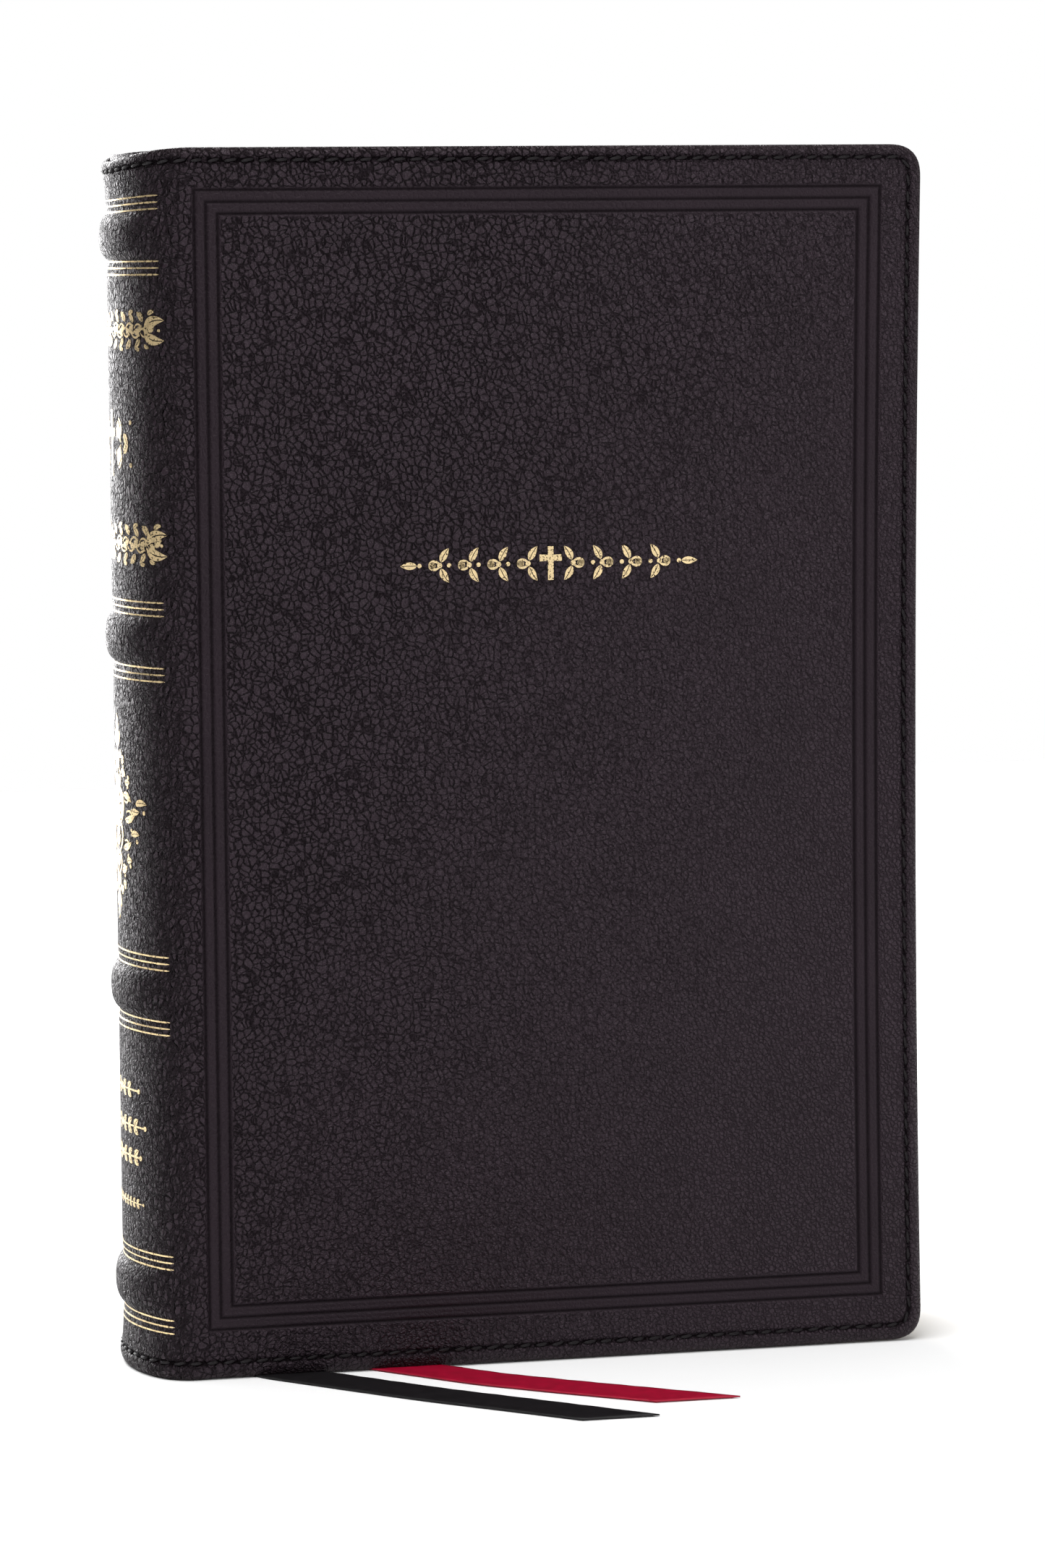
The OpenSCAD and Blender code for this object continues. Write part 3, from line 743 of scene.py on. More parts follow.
def edge_ring(stations, tooled):
    """The turned edge's points, station by station, and for each how tooled it is, how much painted highlight
    it gets on the edge's roll and how much painted shade in the seam's groove.
    """
    us, zs, ns, shares, painted_edge_highlight, dark = [], [], [], [], [], []
    for u, z, du, dz, _ in stations:
        square = 1 + CORNER_PUSH * (2 * du * dz) ** 2
        for e, n, outer in edge_profile(dz, thickness(u)):
            us.append(u + du * (EDGE - e) * square)
            zs.append(z + dz * (EDGE - e) * square)
            ns.append(n)
            shares.append(outer * ramp(e / (2.5 * MM)))
            # painted highlight along the roll of the edge, on the outside only
            painted_edge_highlight.append(0.55 * math.exp(-((e / (0.9 * MM)) ** 2)) * outer)
            # painted shade in the seam's groove
            dark.append(1.5 * math.exp(-(((e - groove_inset(dz)) / (0.4 * MM)) ** 2)) * outer)
    us, zs, ns, shares = (np.array(column) for column in (us, zs, ns, shares))
    more, tool = relief(us, zs, tooled)
    return skin_point(us, zs, ns + more * shares), tool * shares, painted_edge_highlight, dark


def leather_skin(name, u0, mirror, tooled):
    """One closed leather shell, from the line u0 round to the fore-edge: face, turned edges and inside."""
    us, zs = skin_lines(u0)
    nu, nz = len(us), len(zs)
    plain = np.zeros(nu * nz)
    uu, zz = np.meshgrid(us, zs, indexing="ij")
    height, pressed = relief(uu, zz, tooled)
    face = skin_point(uu, zz, height).reshape(-1, 3)
    inside = skin_point(uu, zz, -LEATHER_T).reshape(-1, 3)
    faces = []
    grid = lambda i, j: i * nz + j
    for i in range(nu - 1):
        for j in range(nz - 1):
            quad = (grid(i, j), grid(i + 1, j), grid(i + 1, j + 1), grid(i, j + 1))
            faces += [quad, tuple(nu * nz + k for k in quad[::-1])]
    stations = edge_stations(us, zs, grid)
    ring, ring_tool, ring_edge_highlight, ring_groove_shade = edge_ring(stations, tooled)
    base, rows = 2 * nu * nz, len(ring) // len(stations)

    def at(m, k):
        """The vertex in a station's profile, which starts at the face's own and ends at the inside's."""
        if k < 0:
            return stations[m][4]
        return stations[m][4] + nu * nz if k == rows - 1 else base + m * rows + k

    for m in range(len(stations) - 1):
        for k in range(-1, rows - 1):
            quad = (at(m, k), at(m, k + 1), at(m + 1, k + 1), at(m + 1, k))
            loop = [v for i, v in enumerate(quad) if v != quad[i - 1]]
            if len(set(loop)) >= 3:
                faces.append(tuple(loop))
    last = len(stations) - 1
    cap = [grid(0, j) for j in range(nz)] + [at(last, k) for k in range(rows - 1)]
    cap += [nu * nz + grid(0, j) for j in range(nz - 1, -1, -1)] + [at(0, k) for k in range(rows - 2, -1, -1)]
    faces.append(tuple(cap))
    vertices = np.vstack([face, inside, ring])
    used = np.unique(np.concatenate([np.array(f) for f in faces]))
    index = np.full(len(vertices), -1)
    index[used] = np.arange(len(used))
    faces = [tuple(index[list(f)]) for f in faces]
    vertices = vertices[used]
    if mirror:
        vertices[:, 1] *= -1
        faces = [f[::-1] for f in faces]
    obj = new_mesh(name, vertices, faces, LEATHER)
    # the groove values are painted shade: at the bottom of the tooled lines and in the seam's groove
    lines = groove_shade_share(uu, zz).ravel() if tooled else plain
    point_values(obj, "tooled", np.concatenate([pressed.ravel(), plain, ring_tool])[used])
    point_values(obj, "groove", np.concatenate([lines, plain, ring_groove_shade])[used])
    # painted highlight along the roll of the turned edge
    point_values(obj, "painted_edge_highlight", np.concatenate([plain, plain, ring_edge_highlight])[used])
    x, z = vertices[:, 0], vertices[:, 2]
    point_values(obj, "spine", ramp((SHOULDER_X + 1.5 * MM - x) / (5 * MM)))
    point_values(obj, "coarse", np.clip(0.72 - x / (2.2 * HALF_W) + 0.5 * (z / HEIGHT - 0.6), 0.05, 1))
    return obj


front_leather = leather_skin("front_and_spine_leather", -SEAM_U, False, True)
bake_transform(front_leather)
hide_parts("front_cover_leather", "spine_leather")

back_leather = leather_skin("back_leather", SEAM_U, True, False)
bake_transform(back_leather)
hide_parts("back_cover_leather")


# ---------------------------------------------------------------- stitches

def seam_stations(u0):
    """Every stitch's middle and direction along the seam, in (u, z)."""
    u_in = FORE_U - EDGE
    points = [(u, EDGE, 0.0, -1.0) for u in np.arange(u0, u_in, 0.4 * MM)]
    points += [(u_in, EDGE, math.cos(a), math.sin(a)) for a in np.linspace(-math.pi / 2, 0, 14)]
    points += [(u_in, z, 1.0, 0.0) for z in np.arange(EDGE, HEIGHT - EDGE, 0.4 * MM)]
    points += [(u_in, HEIGHT - EDGE, math.cos(a), math.sin(a)) for a in np.linspace(0, math.pi / 2, 14)]
    points += [(u, HEIGHT - EDGE, 0.0, 1.0) for u in np.arange(u_in, u0, -0.4 * MM)]
    line = []
    for u, z, du, dz in points:
        reach = (EDGE - groove_inset(dz)) * (1 + CORNER_PUSH * (2 * du * dz) ** 2)
        line.append((u + du * reach, z + dz * reach))
    line = np.array(line)
    run = np.concatenate([[0], np.cumsum(np.linalg.norm(np.diff(line, axis=0), axis=1))])
    at = np.arange(STITCH_PITCH / 2, run[-1], STITCH_PITCH)
    middle = np.stack([np.interp(at, run, axis) for axis in line.T], axis=-1)
    ahead = np.stack([np.interp(at + 0.3 * MM, run, axis) for axis in line.T], axis=-1)
    return middle, ahead - middle


def stitches(name, u0, mirror):
    """The lockstitch seam: each stitch a short plump strand that dips into the leather at both ends."""
    middles, ways = seam_stations(u0)
    vertices, faces = [], []
    rings, sides = 9, 8
    for (u, z), way in zip(middles, ways):
        way = way / np.linalg.norm(way)
        tilt = math.radians(8 + 3 * RNG.standard_normal())
        c, s = math.cos(tilt), math.sin(tilt)
        way = np.array([way[0] * c - way[1] * s, way[0] * s + way[1] * c])
        cross = np.array([-way[1], way[0]])
        half = (1.22 + 0.06 * RNG.standard_normal()) * MM
        start = len(vertices)
        for i in range(rings):
            t = -1 + 2 * i / (rings - 1)
            radius = 0.30 * MM * (1 - abs(t) ** 3) ** 0.5 + 0.02 * MM
            lift = -0.10 * MM - 0.22 * MM * t * t
            for k in range(sides):
                a = 2 * math.pi * k / sides
                off = cross * radius * math.cos(a)
                uu, zz = u + way[0] * t * half + off[0], z + way[1] * t * half + off[1]
                vertices.append((uu, zz, lift + radius * math.sin(a)))
        faces += tube_faces(start, rings, sides)
    v = np.array(vertices)
    points = skin_point(v[:, 0], v[:, 1], v[:, 2] + 0.05 * MM)
    if mirror:
        points[:, 1] *= -1
        faces = [f[::-1] for f in faces]
    return new_mesh(name, points, [f[::-1] for f in faces], THREAD)


front_seam = stitches("front_and_spine_stitches", -SEAM_U, False)
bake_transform(front_seam)
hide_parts("front_cover_stitching", "spine_stitching")
back_seam = stitches("back_stitches", SEAM_U, True)
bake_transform(back_seam)
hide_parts("back_cover_stitching")


# ---------------------------------------------------------------- gold foil

class Foil:
    """Flat foil shapes drawn on the leather in (u, z) and laid on its surface."""

    def __init__(self):
        self.strips = []

    def strip(self, left, right):
        """A filled strip between two lines of equally many points."""
        self.strips.append((np.asarray(left, float), np.asarray(right, float)))

    def stroke(self, line, widths):
        """A line drawn with a width at each point."""
        line, widths = np.asarray(line, float), np.asarray(widths, float)
        d = np.gradient(line, axis=0)
        d /= np.maximum(np.linalg.norm(d, axis=1, keepdims=True), 1e-9)
        side = np.stack([-d[:, 1], d[:, 0]], axis=1) * widths[:, None] / 2
        self.strip(line + side, line - side)

    def rule(self, a, b, width, steps):
        """A straight rule with slightly ragged edges and tapered ends."""
        t = np.linspace(0, 1, steps)
        taper = np.minimum(np.minimum(t, 1 - t) * steps / 1.2, 1) ** 0.5
        line = np.stack([a[0] + (b[0] - a[0]) * t, a[1] + (b[1] - a[1]) * t], axis=1)
        ragged = 1 + 0.10 * RNG.standard_normal(steps)
        self.stroke(line, width * np.maximum(taper, 0.25) * ragged)

    def dot(self, c, r):
        a = np.linspace(0, math.pi, 9)
        x = c[0] - r * np.cos(a)
        z = r * np.sin(a) + 1e-6
        self.strip(np.stack([x, c[1] + z], axis=1), np.stack([x, c[1] - z], axis=1))

    def leaf(self, base, angle, length, width, bend=0.0):
        """A pointed leaf with a cut along its midrib."""
        t = np.linspace(0.0, 1, 12)
        turn = angle + bend * t
        step = length / (len(t) - 1)
        mid = np.array(base) + np.cumsum(np.stack([np.cos(turn), np.sin(turn)], axis=1) * step, axis=0)
        normal = np.stack([-np.sin(turn), np.cos(turn)], axis=1)
        half = (width / 2 * np.sin(math.pi * t**0.8) ** 0.9)[:, None] + 0.01 * MM
        rib = 0.05 * width
        self.strip(mid + normal * half, mid + normal * np.minimum(rib, half * 0.5))
        self.strip(mid - normal * np.minimum(rib, half * 0.5), mid - normal * half)

    def scroll(self, start, angle, size, turns, width, hand=1):
        """A vine that curls up into a spiral with a dot at its heart."""
        t = np.linspace(0, 1, 34)
        turn = angle + hand * 2 * math.pi * turns * t**1.35
        step = size * (1 - 0.86 * t) * 2.7 / len(t)
        ways = np.stack([np.cos(turn), np.sin(turn)], axis=1)
        line = np.array(start) + np.cumsum(ways * step[:, None], axis=0)
        self.stroke(line, width * (0.55 + 0.45 * np.sin(math.pi * np.clip(t * 1.1, 0, 1))))
        self.dot(line[-1], width * 0.85)

    def leaves(self, u, z, side, up, way, rows, unit=MM):
        """Leaves mirrored by side and up. A row is (across, above, turn, length, width, bend)."""
        hand = side * up
        for across, above, turn, length, width, bend in rows:
            base = (u + side * across * unit, z + up * above * unit)
            self.leaf(base, way + hand * turn, length * unit, width * unit, bend=hand * bend)

    def build(self, name, lift=0.04 * MM):
        vertices, faces = [], []
        for left, right in self.strips:
            base, n = len(vertices), len(left)
            for side, n_up in ((left, 1), (right, 1), (left, 0), (right, 0)):
                vertices += [(p[0], p[1], n_up) for p in side]
            faces += bar_faces(base, base + n, base + 2 * n, base + 3 * n, n)
        v = np.array(vertices)
        height = relief(v[:, 0], v[:, 1])[0]
        points = skin_point(v[:, 0], v[:, 1], height + lift - FOIL_T * (1 - v[:, 2]))
        return new_mesh(name, points, faces, GOLD, smooth=False)


def spine_rules():
    """Three fine gold rules on both sides of every raised band."""
    foil = Foil()
    end = BACK_LEN + 3.0 * MM
    for zb in BAND_Z:
        for side in (-1, 1):
            for step in RULE_STEPS:
                z = zb + side * step
                foil.rule((-end, z), (end, z), 0.31 * MM, 70)
    obj = foil.build("spine_rules")
    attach(obj, "root")
    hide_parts("spine_rules_foil")


def sprig(foil, x, z, side, up, s):
    """A scroll that rolls back on itself, with leaves and dots outside it, which the friezes repeat."""
    way = math.pi / 2 * up - side * up * 0.55
    foil.scroll((x, z), way, 3.5 * s, 1.25, 0.50 * s, hand=-side * up)
    foil.leaves(x, z, side, up, way, [(-0.2, 1.2, 0.9, 2.6, 1.3, 0.8), (1.2, 2.6, -0.2, 1.7, 0.9, -0.6)], s)
    foil.dot((x + side * 2.5 * s, z + up * 3.3 * s), 0.28 * s)
    foil.dot((x + side * 2.7 * s, z + up * 0.7 * s), 0.24 * s)


def rosette(foil, z, heart, length, width, first):
    """A dot with eight leaves round it."""
    foil.dot((0, z), heart)
    for k in range(8):
        a = k * math.pi / 4 + first
        foil.leaf((heart * math.cos(a), z + heart * math.sin(a)), a, length, width)


def leaf_frieze(foil, z, half, reach):
    """A wide ornament round the spine: mirrored scrolls along a stem, ending in curled leaves."""
    scale = half / 4.3
    rosette(foil, z, 0.9 * scale, 2.1 * scale, 1.2 * scale, 0)
    for side in (-1, 1):
        across = np.linspace(side * 3 * scale, side * (reach - 4 * scale), 40)
        wave = z + 0.4 * scale * np.sin(np.linspace(0, 5 * math.pi, 40))
        foil.stroke(np.stack([across, wave], axis=1), np.full(40, 0.5 * scale))
        for k in range(5):
            for up in (-1, 1):
                x = side * (3.3 + 3.05 * k + 0.5 * up) * scale
                size = scale * (1.0 if (k + (up > 0)) % 2 else 0.88)
                sprig(foil, x, z + up * 0.2 * scale, side, up, size)
        tip = side * (reach - 4.6 * scale)
        toward = 0 if side > 0 else math.pi
        for up in (-1, 1):
            foil.leaves(tip, z, side, up, toward, [(0, 0.3, 0.75, 5.0, 2.0, -0.9)], scale)
            start = (tip + side * 0.6 * scale, z + up * 0.2 * scale)
            foil.scroll(start, toward + side * up * 0.25, 2.0 * scale, 1.0, 0.35 * scale, hand=side * up)
        foil.dot((tip + side * 3.9 * scale, z), 0.3 * scale)


def moved(build, across, *where):
    """Builds a shape on its own foil and returns its strips moved round the spine."""
    part = Foil()
    build(part, *where)
    return [(left + [across, 0], right + [across, 0]) for left, right in part.strips]


# The tall ornament's scrolls: how far up they start, how far they reach in millimetres, and up or down
SCROLL_LEVELS = [
    (0.06, 4.6, 1), (0.17, 7.4, 1), (0.30, 10.4, 1), (0.46, 13.0, 1),
    (0.74, 10.6, -1), (0.86, 6.8, -1), (0.95, 4.0, -1),
]


def tall_ornament(foil, z0, z1):
    """A tall lozenge of mirrored scrolls and leaves on a stem, widest a little above its middle."""
    stem = np.stack([np.zeros(30), np.linspace(z0 + 3 * MM, z1 - 5 * MM, 30)], axis=1)
    foil.stroke(stem, np.full(30, 0.5 * MM))
    foil.leaf((0, z1 - 5.4 * MM), math.pi / 2, 5.4 * MM, 2.3 * MM)
    foil.leaf((0, z0 + 4.6 * MM), -math.pi / 2, 4.6 * MM, 1.9 * MM)
    for side in (-1, 1):
        foil.leaves(0, z1, side, 1, math.pi / 2, [(0, -6, -0.8, 3.6, 1.4, 0.5)])
        foil.leaves(0, z0, side, -1, -math.pi / 2, [(0, -5, -0.8, 3.2, 1.3, 0.5)])
    rosette(foil, z0 + 0.57 * (z1 - z0), 1.1 * MM, 2.4 * MM, 1.3 * MM, math.pi / 8)
    for part, reach, up in SCROLL_LEVELS:
        z = z0 + 3 * MM + part * (z1 - z0 - 8 * MM)
        size = reach * MM
        rows = [(0.34 * reach, 0.17 * reach, -0.7, 0.34 * reach + 0.6, 1.4, 0.9),
                (0.72 * reach, 0.40 * reach, -0.1, 0.26 * reach + 0.5, 1.3, -0.7),
                (0.3, 1.4, 0.7, 2.6, 1.1, -0.4)]
        for side in (-1, 1):
            hand = side * up
            way = up * math.pi / 2 - hand * 1.05
            foil.scroll((side * 0.3 * MM, z), way, 0.74 * size, 0.98, 0.75 * MM, hand=hand)
            start = (side * 0.42 * size, z + up * 0.26 * size)
            foil.scroll(start, way, 0.30 * size, 1.2, 0.5 * MM, hand=-hand)
            foil.leaves(0, z, side, up, way, rows)
            foil.dot((side * 0.97 * size, z + up * 0.30 * size), 0.42 * MM)
            foil.dot((side * 0.60 * size, z + up * 0.02 * size), 0.32 * MM)


def vine(foil, z, half, s):
    """A short straight stem with pairs of leaves and a dot at each end."""
    unit = MM * s
    foil.stroke(np.stack([np.linspace(-half, half, 40), np.full(40, z)], axis=1), np.full(40, 0.36 * unit))
    step = 2.9 * unit
    for side in (-1, 1):
        toward = 0 if side > 0 else math.pi
        for k in range(int(half / step)):
            for up in (-1, 1):
                foil.leaves(side * k * step, z, side, up, toward, [(0.9, 0, 0.85, 2.3, 1.3, -0.5)], unit)
        foil.dot((side * (half + 0.5 * unit), z), 0.5 * unit)
    foil.dot((0, z), 0.8 * unit)


def latin_cross(foil, u, z, height, bar):
    """An upright and two arms that widen a little outwards."""
    foil.strip(*([(u + s * bar / 2, z - height / 2), (u + s * bar / 2, z + height / 2)] for s in (-1, 1)))
    arm_z = z + 0.16 * height
    for side in (-1, 1):
        a, b = u + side * bar / 2, u + side * 0.34 * height
        foil.strip(*([(a, arm_z + s * bar / 2), (b, arm_z + s * 0.6 * bar)] for s in (side, -side)))


def cross_and_scrolls(foil):
    """A small cross with two pairs of scrolls on each side, in the place of the spine's title."""
    latin_cross(foil, 0, 177 * MM, 12.5 * MM, 1.5 * MM)
    rows = [(4.2, 0.2, -0.1, 4.4, 1.7, -0.5), (6.8, 2.8, -0.9, 3.2, 1.5, 0.6)]
    for side in (-1, 1):
        for height, up in ((172.2, 1), (181.8, -1)):
            z, way = height * MM, math.pi / 2 * up
            foil.scroll((side * 4.4 * MM, z), way - side * up, 4.6 * MM, 1.15, 0.75 * MM, hand=side * up)
            foil.leaves(0, z, side, up, way, rows)
            foil.dot((side * 9.9 * MM, z + 0.8 * up * MM), 0.45 * MM)


# Heights of middles, half heights or half widths, and sizes, in millimetres
FRIEZES = ((198.2, 4.3), (158.2, 4.5))
VINES = ((54.2, 8.6, 1.0), (47.3, 10.8, 1.0), (41.4, 9.0, 1.0), (32.5, 10, 0.6))


def spine_ornament():
    """The gold ornaments down the spine."""
    foil = Foil()
    for z, half in FRIEZES:
        leaf_frieze(foil, z * MM, half * MM, BACK_LEN + 3.5 * MM)
    foil.strips += moved(tall_ornament, FOIL_SHIFT, 86.7 * MM, 125.2 * MM)
    foil.strips += moved(cross_and_scrolls, FOIL_SHIFT)
    for z, half, size in VINES:
        foil.strips += moved(vine, FOIL_SHIFT, z * MM, half * MM, size)
    obj = foil.build("spine_ornament")
    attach(obj, "root")
    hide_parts("spine_ornament_foil")


def front_ornament():
    """A small cross between mirrored scrolls, in the place of a title."""
    foil = Foil()
    u0, z0 = FLAT_U + 4.6 * MM - SHOULDER_X, 153.5 * MM
    latin_cross(foil, u0, z0, 6.4 * MM, 1.1 * MM)
    for side in (-1, 1):
        for k in range(4):
            x = u0 + side * (4.4 + 5.7 * k) * MM
            for up in (-1, 1):
                way, hand = math.pi / 2 * up, side * up
                foil.scroll((x, z0 + up * 0.2 * MM), way - hand * 0.8, 2.5 * MM, 1.15, 0.62 * MM, hand=-hand)
                foil.leaves(x, z0, side, up, way, [(-0.2, 0.3, 0.25, 3.1, 1.4, 0.5)])
            foil.dot((x + side * 3.9 * MM, z0), 0.42 * MM)
            foil.dot((x, z0), 0.5 * MM)
        foil.leaf((u0 + side * 25.6 * MM, z0), 0 if side > 0 else math.pi, 3.2 * MM, 1.4 * MM)
    obj = foil.build("front_ornament", lift=0.03 * MM)
    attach(obj, "front_cover")
    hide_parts("front_cover_foil")


spine_rules()
spine_ornament()
front_ornament()


# ---------------------------------------------------------------- pages

FORE_X = HALF_W - 4 * MM
FORE_HOLLOW = 3.5 * MM
PAGE_HALF = HALF_T - COVER_T - 0.15 * MM
SHEET_T = 0.16 * MM
FOLD_IN = 3.45 * MM


def fore_edge(y):
    """How far the leaves reach at a place in the thickness: the fore-edge is hollow in the middle."""
    r = (PAGE_HALF**2 + FORE_HOLLOW**2) / (2 * FORE_HOLLOW)
    return FORE_X - FORE_HOLLOW + r - math.sqrt(r * r - y * y)


def rounded_back(y):
    """Where the leaves' folds lie at the rounded spine."""
    return ARC_X - math.sqrt((ARC_R - FOLD_IN) ** 2 - y * y)


def two_spacings(a, b, c, first, second):
    """Places from a to b and on to c, with as many in each stretch as given."""
    return np.concatenate([np.linspace(a, b, first), np.linspace(b, c, second)[1:]])


def leaf_stack(name, x0, y0, y1, near_x):
    """A stack of leaves as thin closed sheets with gilded edges, each a hair longer or shorter than the next.
    x0 is where they start, or None to start at the rounded back."""
    count = max(2, int(round((y1 - y0) / SHEET_T)))
    t = (y1 - y0) / count
    vertices, faces, slots = [], [], []
    z0, z1 = PAGE_LO[2], PAGE_HI[2]
    for i in range(count):
        a, b = y0 + t * i + 0.004 * MM, y0 + t * (i + 1) - 0.004 * MM
        jag = RNG.uniform(-0.05, 0.03, 3) * MM
        far = fore_edge((a + b) / 2) + jag[0]
        start = rounded_back(max(abs(a), abs(b))) if x0 is None else x0
        xs = two_spacings(start, near_x, far, 9, 6)
        low, high = z0 - jag[1] * 0.8, z1 + jag[2] * 0.8
        base, n = len(vertices), len(xs)
        for y, z in ((a, low), (b, low), (b, high), (a, high)):
            vertices += [(x, y, z) for x in xs]
        faces += bar_faces(base, base + 3 * n, base + n, base + 2 * n, n)
        slots += [0, 0, 1, 1] * (n - 1) + [0, 1]
    return new_mesh(name, vertices, faces, [PAPER, GILT], smooth=False, slots=slots)


def turning_leaves():
    """The groups of leaves, each a straight stack that starts at the sewn folds where its hinge line is."""
    for side, count in (("front", 7), ("back", 4)):
        for i in range(1, count + 1):
            node = f"{side}_leaves_{i}"
            low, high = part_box(node)
            start = low[0] - 0.15 * MM
            obj = leaf_stack(f"{side}_leaf_stack_{i}", start, low[1], high[1], start + 9 * MM)
            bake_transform(obj)
            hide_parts(node)


def fixed_sections():
    """The sections in the middle of the book, which stay with the spine."""
    for i in range(1, 8):
        node = f"section_{i}"
        low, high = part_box(node)
        obj = leaf_stack(f"section_leaves_{i}", None, low[1], high[1], -50 * MM)
        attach(obj, "root")
        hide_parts(node)


def endpapers():
    """Flyleaves, and linings that run from each cover over the joint to the sewn folds."""
    for side, sign in (("front", -1), ("back", 1)):
        low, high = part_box(f"{side}_flyleaf")
        start = low[0] - 0.15 * MM
        xs = two_spacings(start, start + 10 * MM, high[0], 12, 8)
        obj = slab(f"{side}_flyleaf_sheet", xs, low[1], high[1], PAGE_LO[2], PAGE_HI[2], LINING)
        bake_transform(obj)
        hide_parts(f"{side}_flyleaf")
        inner = sign * (HALF_T - COVER_T)
        depth = sign * (HALF_T - COVER_T + 0.35 * MM)
        far = flat_x(FORE_U) - EDGE + 0.6 * MM
        xs = two_spacings(HINGE_X + 0.6 * MM, HINGE_X + 6 * MM, far, 14, 40)
        y0, y1 = sorted((inner, depth))
        obj = slab(f"{side}_lining_sheet", xs, y0, y1, EDGE - 0.6 * MM, HEIGHT - EDGE + 0.6 * MM, LINING)
        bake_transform(obj)
        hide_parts(f"{side}_cover_lining")


def slab(name, xs, y0, y1, z0, z1, material):
    """A thin sheet between two y values, divided along x, with slightly softened long edges."""
    zs = np.concatenate([[z0, z0 + 0.2 * MM], np.linspace(z0, z1, 26)[1:-1], [z1 - 0.2 * MM, z1]])
    inset = np.zeros(len(zs))
    inset[0] = inset[-1] = 0.3 * (y1 - y0)
    n, m = len(xs), len(zs)
    vertices, faces = [], []
    for y, sign in ((y0, 1), (y1, -1)):
        for x in xs:
            vertices += [(x, y + sign * inset[j], zs[j]) for j in range(m)]
    lower = lambda i, j: i * m + j
    upper = lambda i, j: n * m + i * m + j
    for i in range(n - 1):
        for j in range(m - 1):
            faces.append((lower(i, j), lower(i + 1, j), lower(i + 1, j + 1), lower(i, j + 1)))
            faces.append((upper(i, j + 1), upper(i + 1, j + 1), upper(i + 1, j), upper(i, j)))
        faces.append((upper(i, 0), upper(i + 1, 0), lower(i + 1, 0), lower(i, 0)))
        faces.append((lower(i, m - 1), lower(i + 1, m - 1), upper(i + 1, m - 1), upper(i, m - 1)))
    for j in range(m - 1):
        faces.append((lower(0, j), lower(0, j + 1), upper(0, j + 1), upper(0, j)))
        faces.append((lower(n - 1, j + 1), lower(n - 1, j), upper(n - 1, j), upper(n - 1, j + 1)))
    return new_mesh(name, vertices, faces, material)


turning_leaves()
fixed_sections()
endpapers()


# ---------------------------------------------------------------- head bands and what shows of the CAD

SILK = [
    thread_material("silk_gold", (0.66, 0.44, 0.13), 0.4),
    thread_material("silk_black", (0.02, 0.018, 0.018), 0.4),
]


def worked_band(name, node, drop):
    """A head band: silk wound round a core in two colours, turn beside turn."""
    low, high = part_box(node)
    z = (low[2] + high[2]) / 2 + drop
    r = (high[2] - low[2]) / 2
    centre_r = ARC_X - low[0] - r
    turns, around, per = 60, 12, 4
    vertices = []
    steps = turns * per
    for i in range(steps + 1):
        a = -ARC_A + 2 * ARC_A * i / steps
        swell = r * (0.86 + 0.14 * abs(math.sin(math.pi * i / per)))
        for k in range(around):
            b = 2 * math.pi * k / around
            rr = centre_r + swell * math.cos(b)
            vertices.append((ARC_X - rr * math.cos(a), rr * math.sin(a), z + swell * math.sin(b)))
    faces = [f[::-1] for f in tube_faces(0, steps + 1, around)]
    slots = [i // per // 2 % 2 for i in range(steps) for k in range(around)] + [0, 0]
    obj = new_mesh(name, vertices, faces, SILK, slots=slots)
    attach(obj, "root")
    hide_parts(node)


worked_band("head_band_silk", "head_band", -1.1 * MM)
worked_band("tail_band_silk", "tail_band", 0)

CAD_FINISH = {
    "cover_leather": LEATHER,
    "board": board_material("grey_board", (0.42, 0.36, 0.29), (0.33, 0.28, 0.22)),
    "band_strip": board_material("strip_leather", (0.36, 0.25, 0.16), (0.27, 0.18, 0.11)),
    "lining": LINING,
    "flyleaf": LINING,
    "stitch_thread": THREAD,
    "gold_foil": GOLD,
    "kraft": board_material("kraft_paper", (0.50, 0.36, 0.22), (0.40, 0.28, 0.16)),
    "mull_cloth": cloth_material("mull_weave", (0.80, 0.77, 0.68), (0.55, 0.52, 0.44)),
    "tape_cloth": cloth_material("tape_weave", (0.85, 0.82, 0.74), (0.62, 0.58, 0.50)),
    "sewing_thread": thread_material("thread_white", (0.85, 0.82, 0.75)),
    "headband_silk": SILK[0],
    "page_paper": folds_material(),
    "ribbon_black": SATIN_BLACK,
    "ribbon_red": SATIN_RED,
}

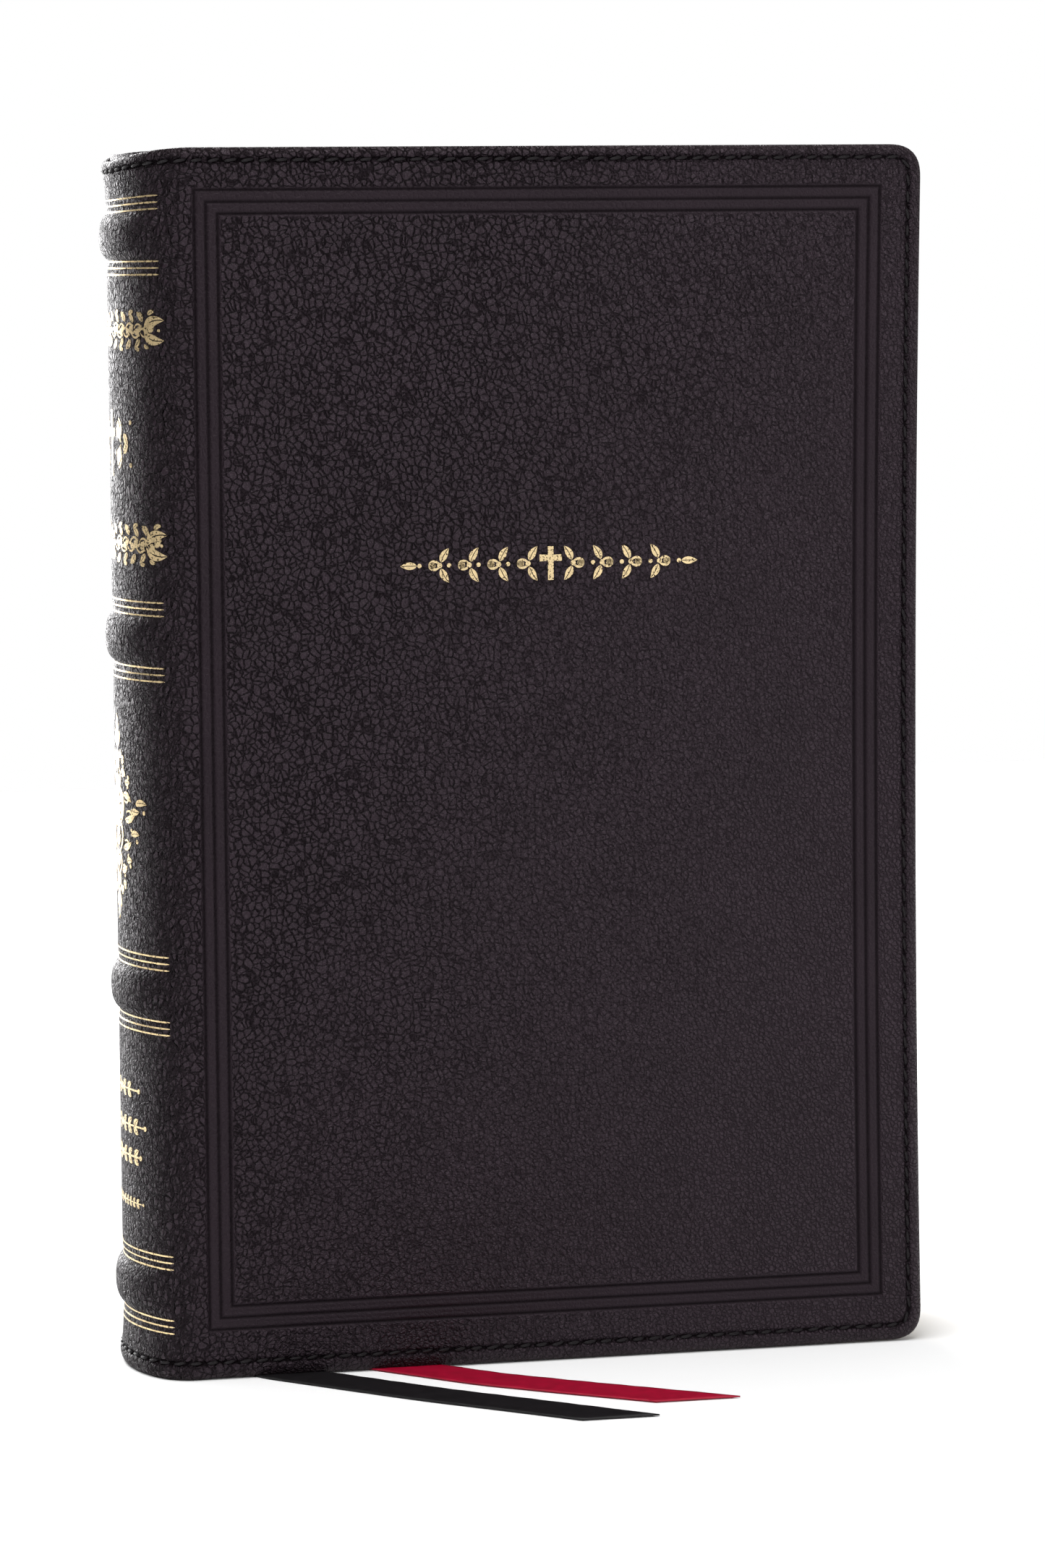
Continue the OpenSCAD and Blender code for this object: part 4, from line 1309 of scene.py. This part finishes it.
for sub in frame["record"]["subparts"]:
    node = frame["nodes"][sub["node"]]
    keep_rest(node)
    node.data.materials.clear()
    # the leather is turned in over the inlay's ends, so it shows the leather's colour
    node.data.materials.append(LEATHER if sub["node"] == "spine_inlay" else CAD_FINISH[sub["material_slot"]])


# ---------------------------------------------------------------- floor and light

def floor():
    """A plain pale floor just under the book."""
    n = Nodes("pale_floor", (0.90, 0.90, 0.90), 0.7, specular=0.2)
    n.bump(n.noise(n.rest(), 0.02, 2.0), 0.0001, 0.2)
    size, z = 1.05, -0.2 * MM
    corners = [(x * size, y * size, z) for x, y in ((-1, -1), (1, -1), (1, 1), (-1, 1))]
    obj = new_mesh("floor", corners, [(0, 1, 2, 3)], n.material)


def area_light(name, place, target, size, power):
    data = bpy.data.lights.new(name, "AREA")
    data.shape = "RECTANGLE"
    data.size, data.size_y = size
    data.energy = power
    light = bpy.data.objects.new(name, data)
    light.location = place
    light.rotation_euler = (Vector(target) - Vector(place)).to_track_quat("-Z", "Y").to_euler()
    bpy.context.collection.objects.link(light)


def studio():
    """A white sweep: bright behind the book, a large light overhead, and a weak one in front."""
    world = bpy.data.worlds.new("studio")
    world.use_nodes = True
    tree = world.node_tree
    seen = tree.nodes.new("ShaderNodeLightPath").outputs["Is Camera Ray"]
    level = tree.nodes.new("ShaderNodeMapRange")
    tree.links.new(seen, level.inputs["Value"])
    level.inputs["To Min"].default_value = 0.26
    level.inputs["To Max"].default_value = 1.0
    background = tree.nodes["Background"]
    background.inputs["Color"].default_value = (1, 1, 1, 1)
    tree.links.new(level.outputs["Result"], background.inputs["Strength"])
    bpy.context.scene.world = world
    area_light("sweep_left", (-0.33, 1.15, 0.12), (-0.07, 0, 0.10), (0.80, 1.9), 56)
    area_light("overhead", (-0.35, -0.45, 1.5), (0, 0, 0.1), (1.8, 1.6), 34)
    area_light("front_right", (0.9, -1.2, 0.5), (0, 0, 0.12), (0.8, 0.8), 9)
    bpy.context.scene.view_settings.view_transform = "Standard"


floor()
studio()
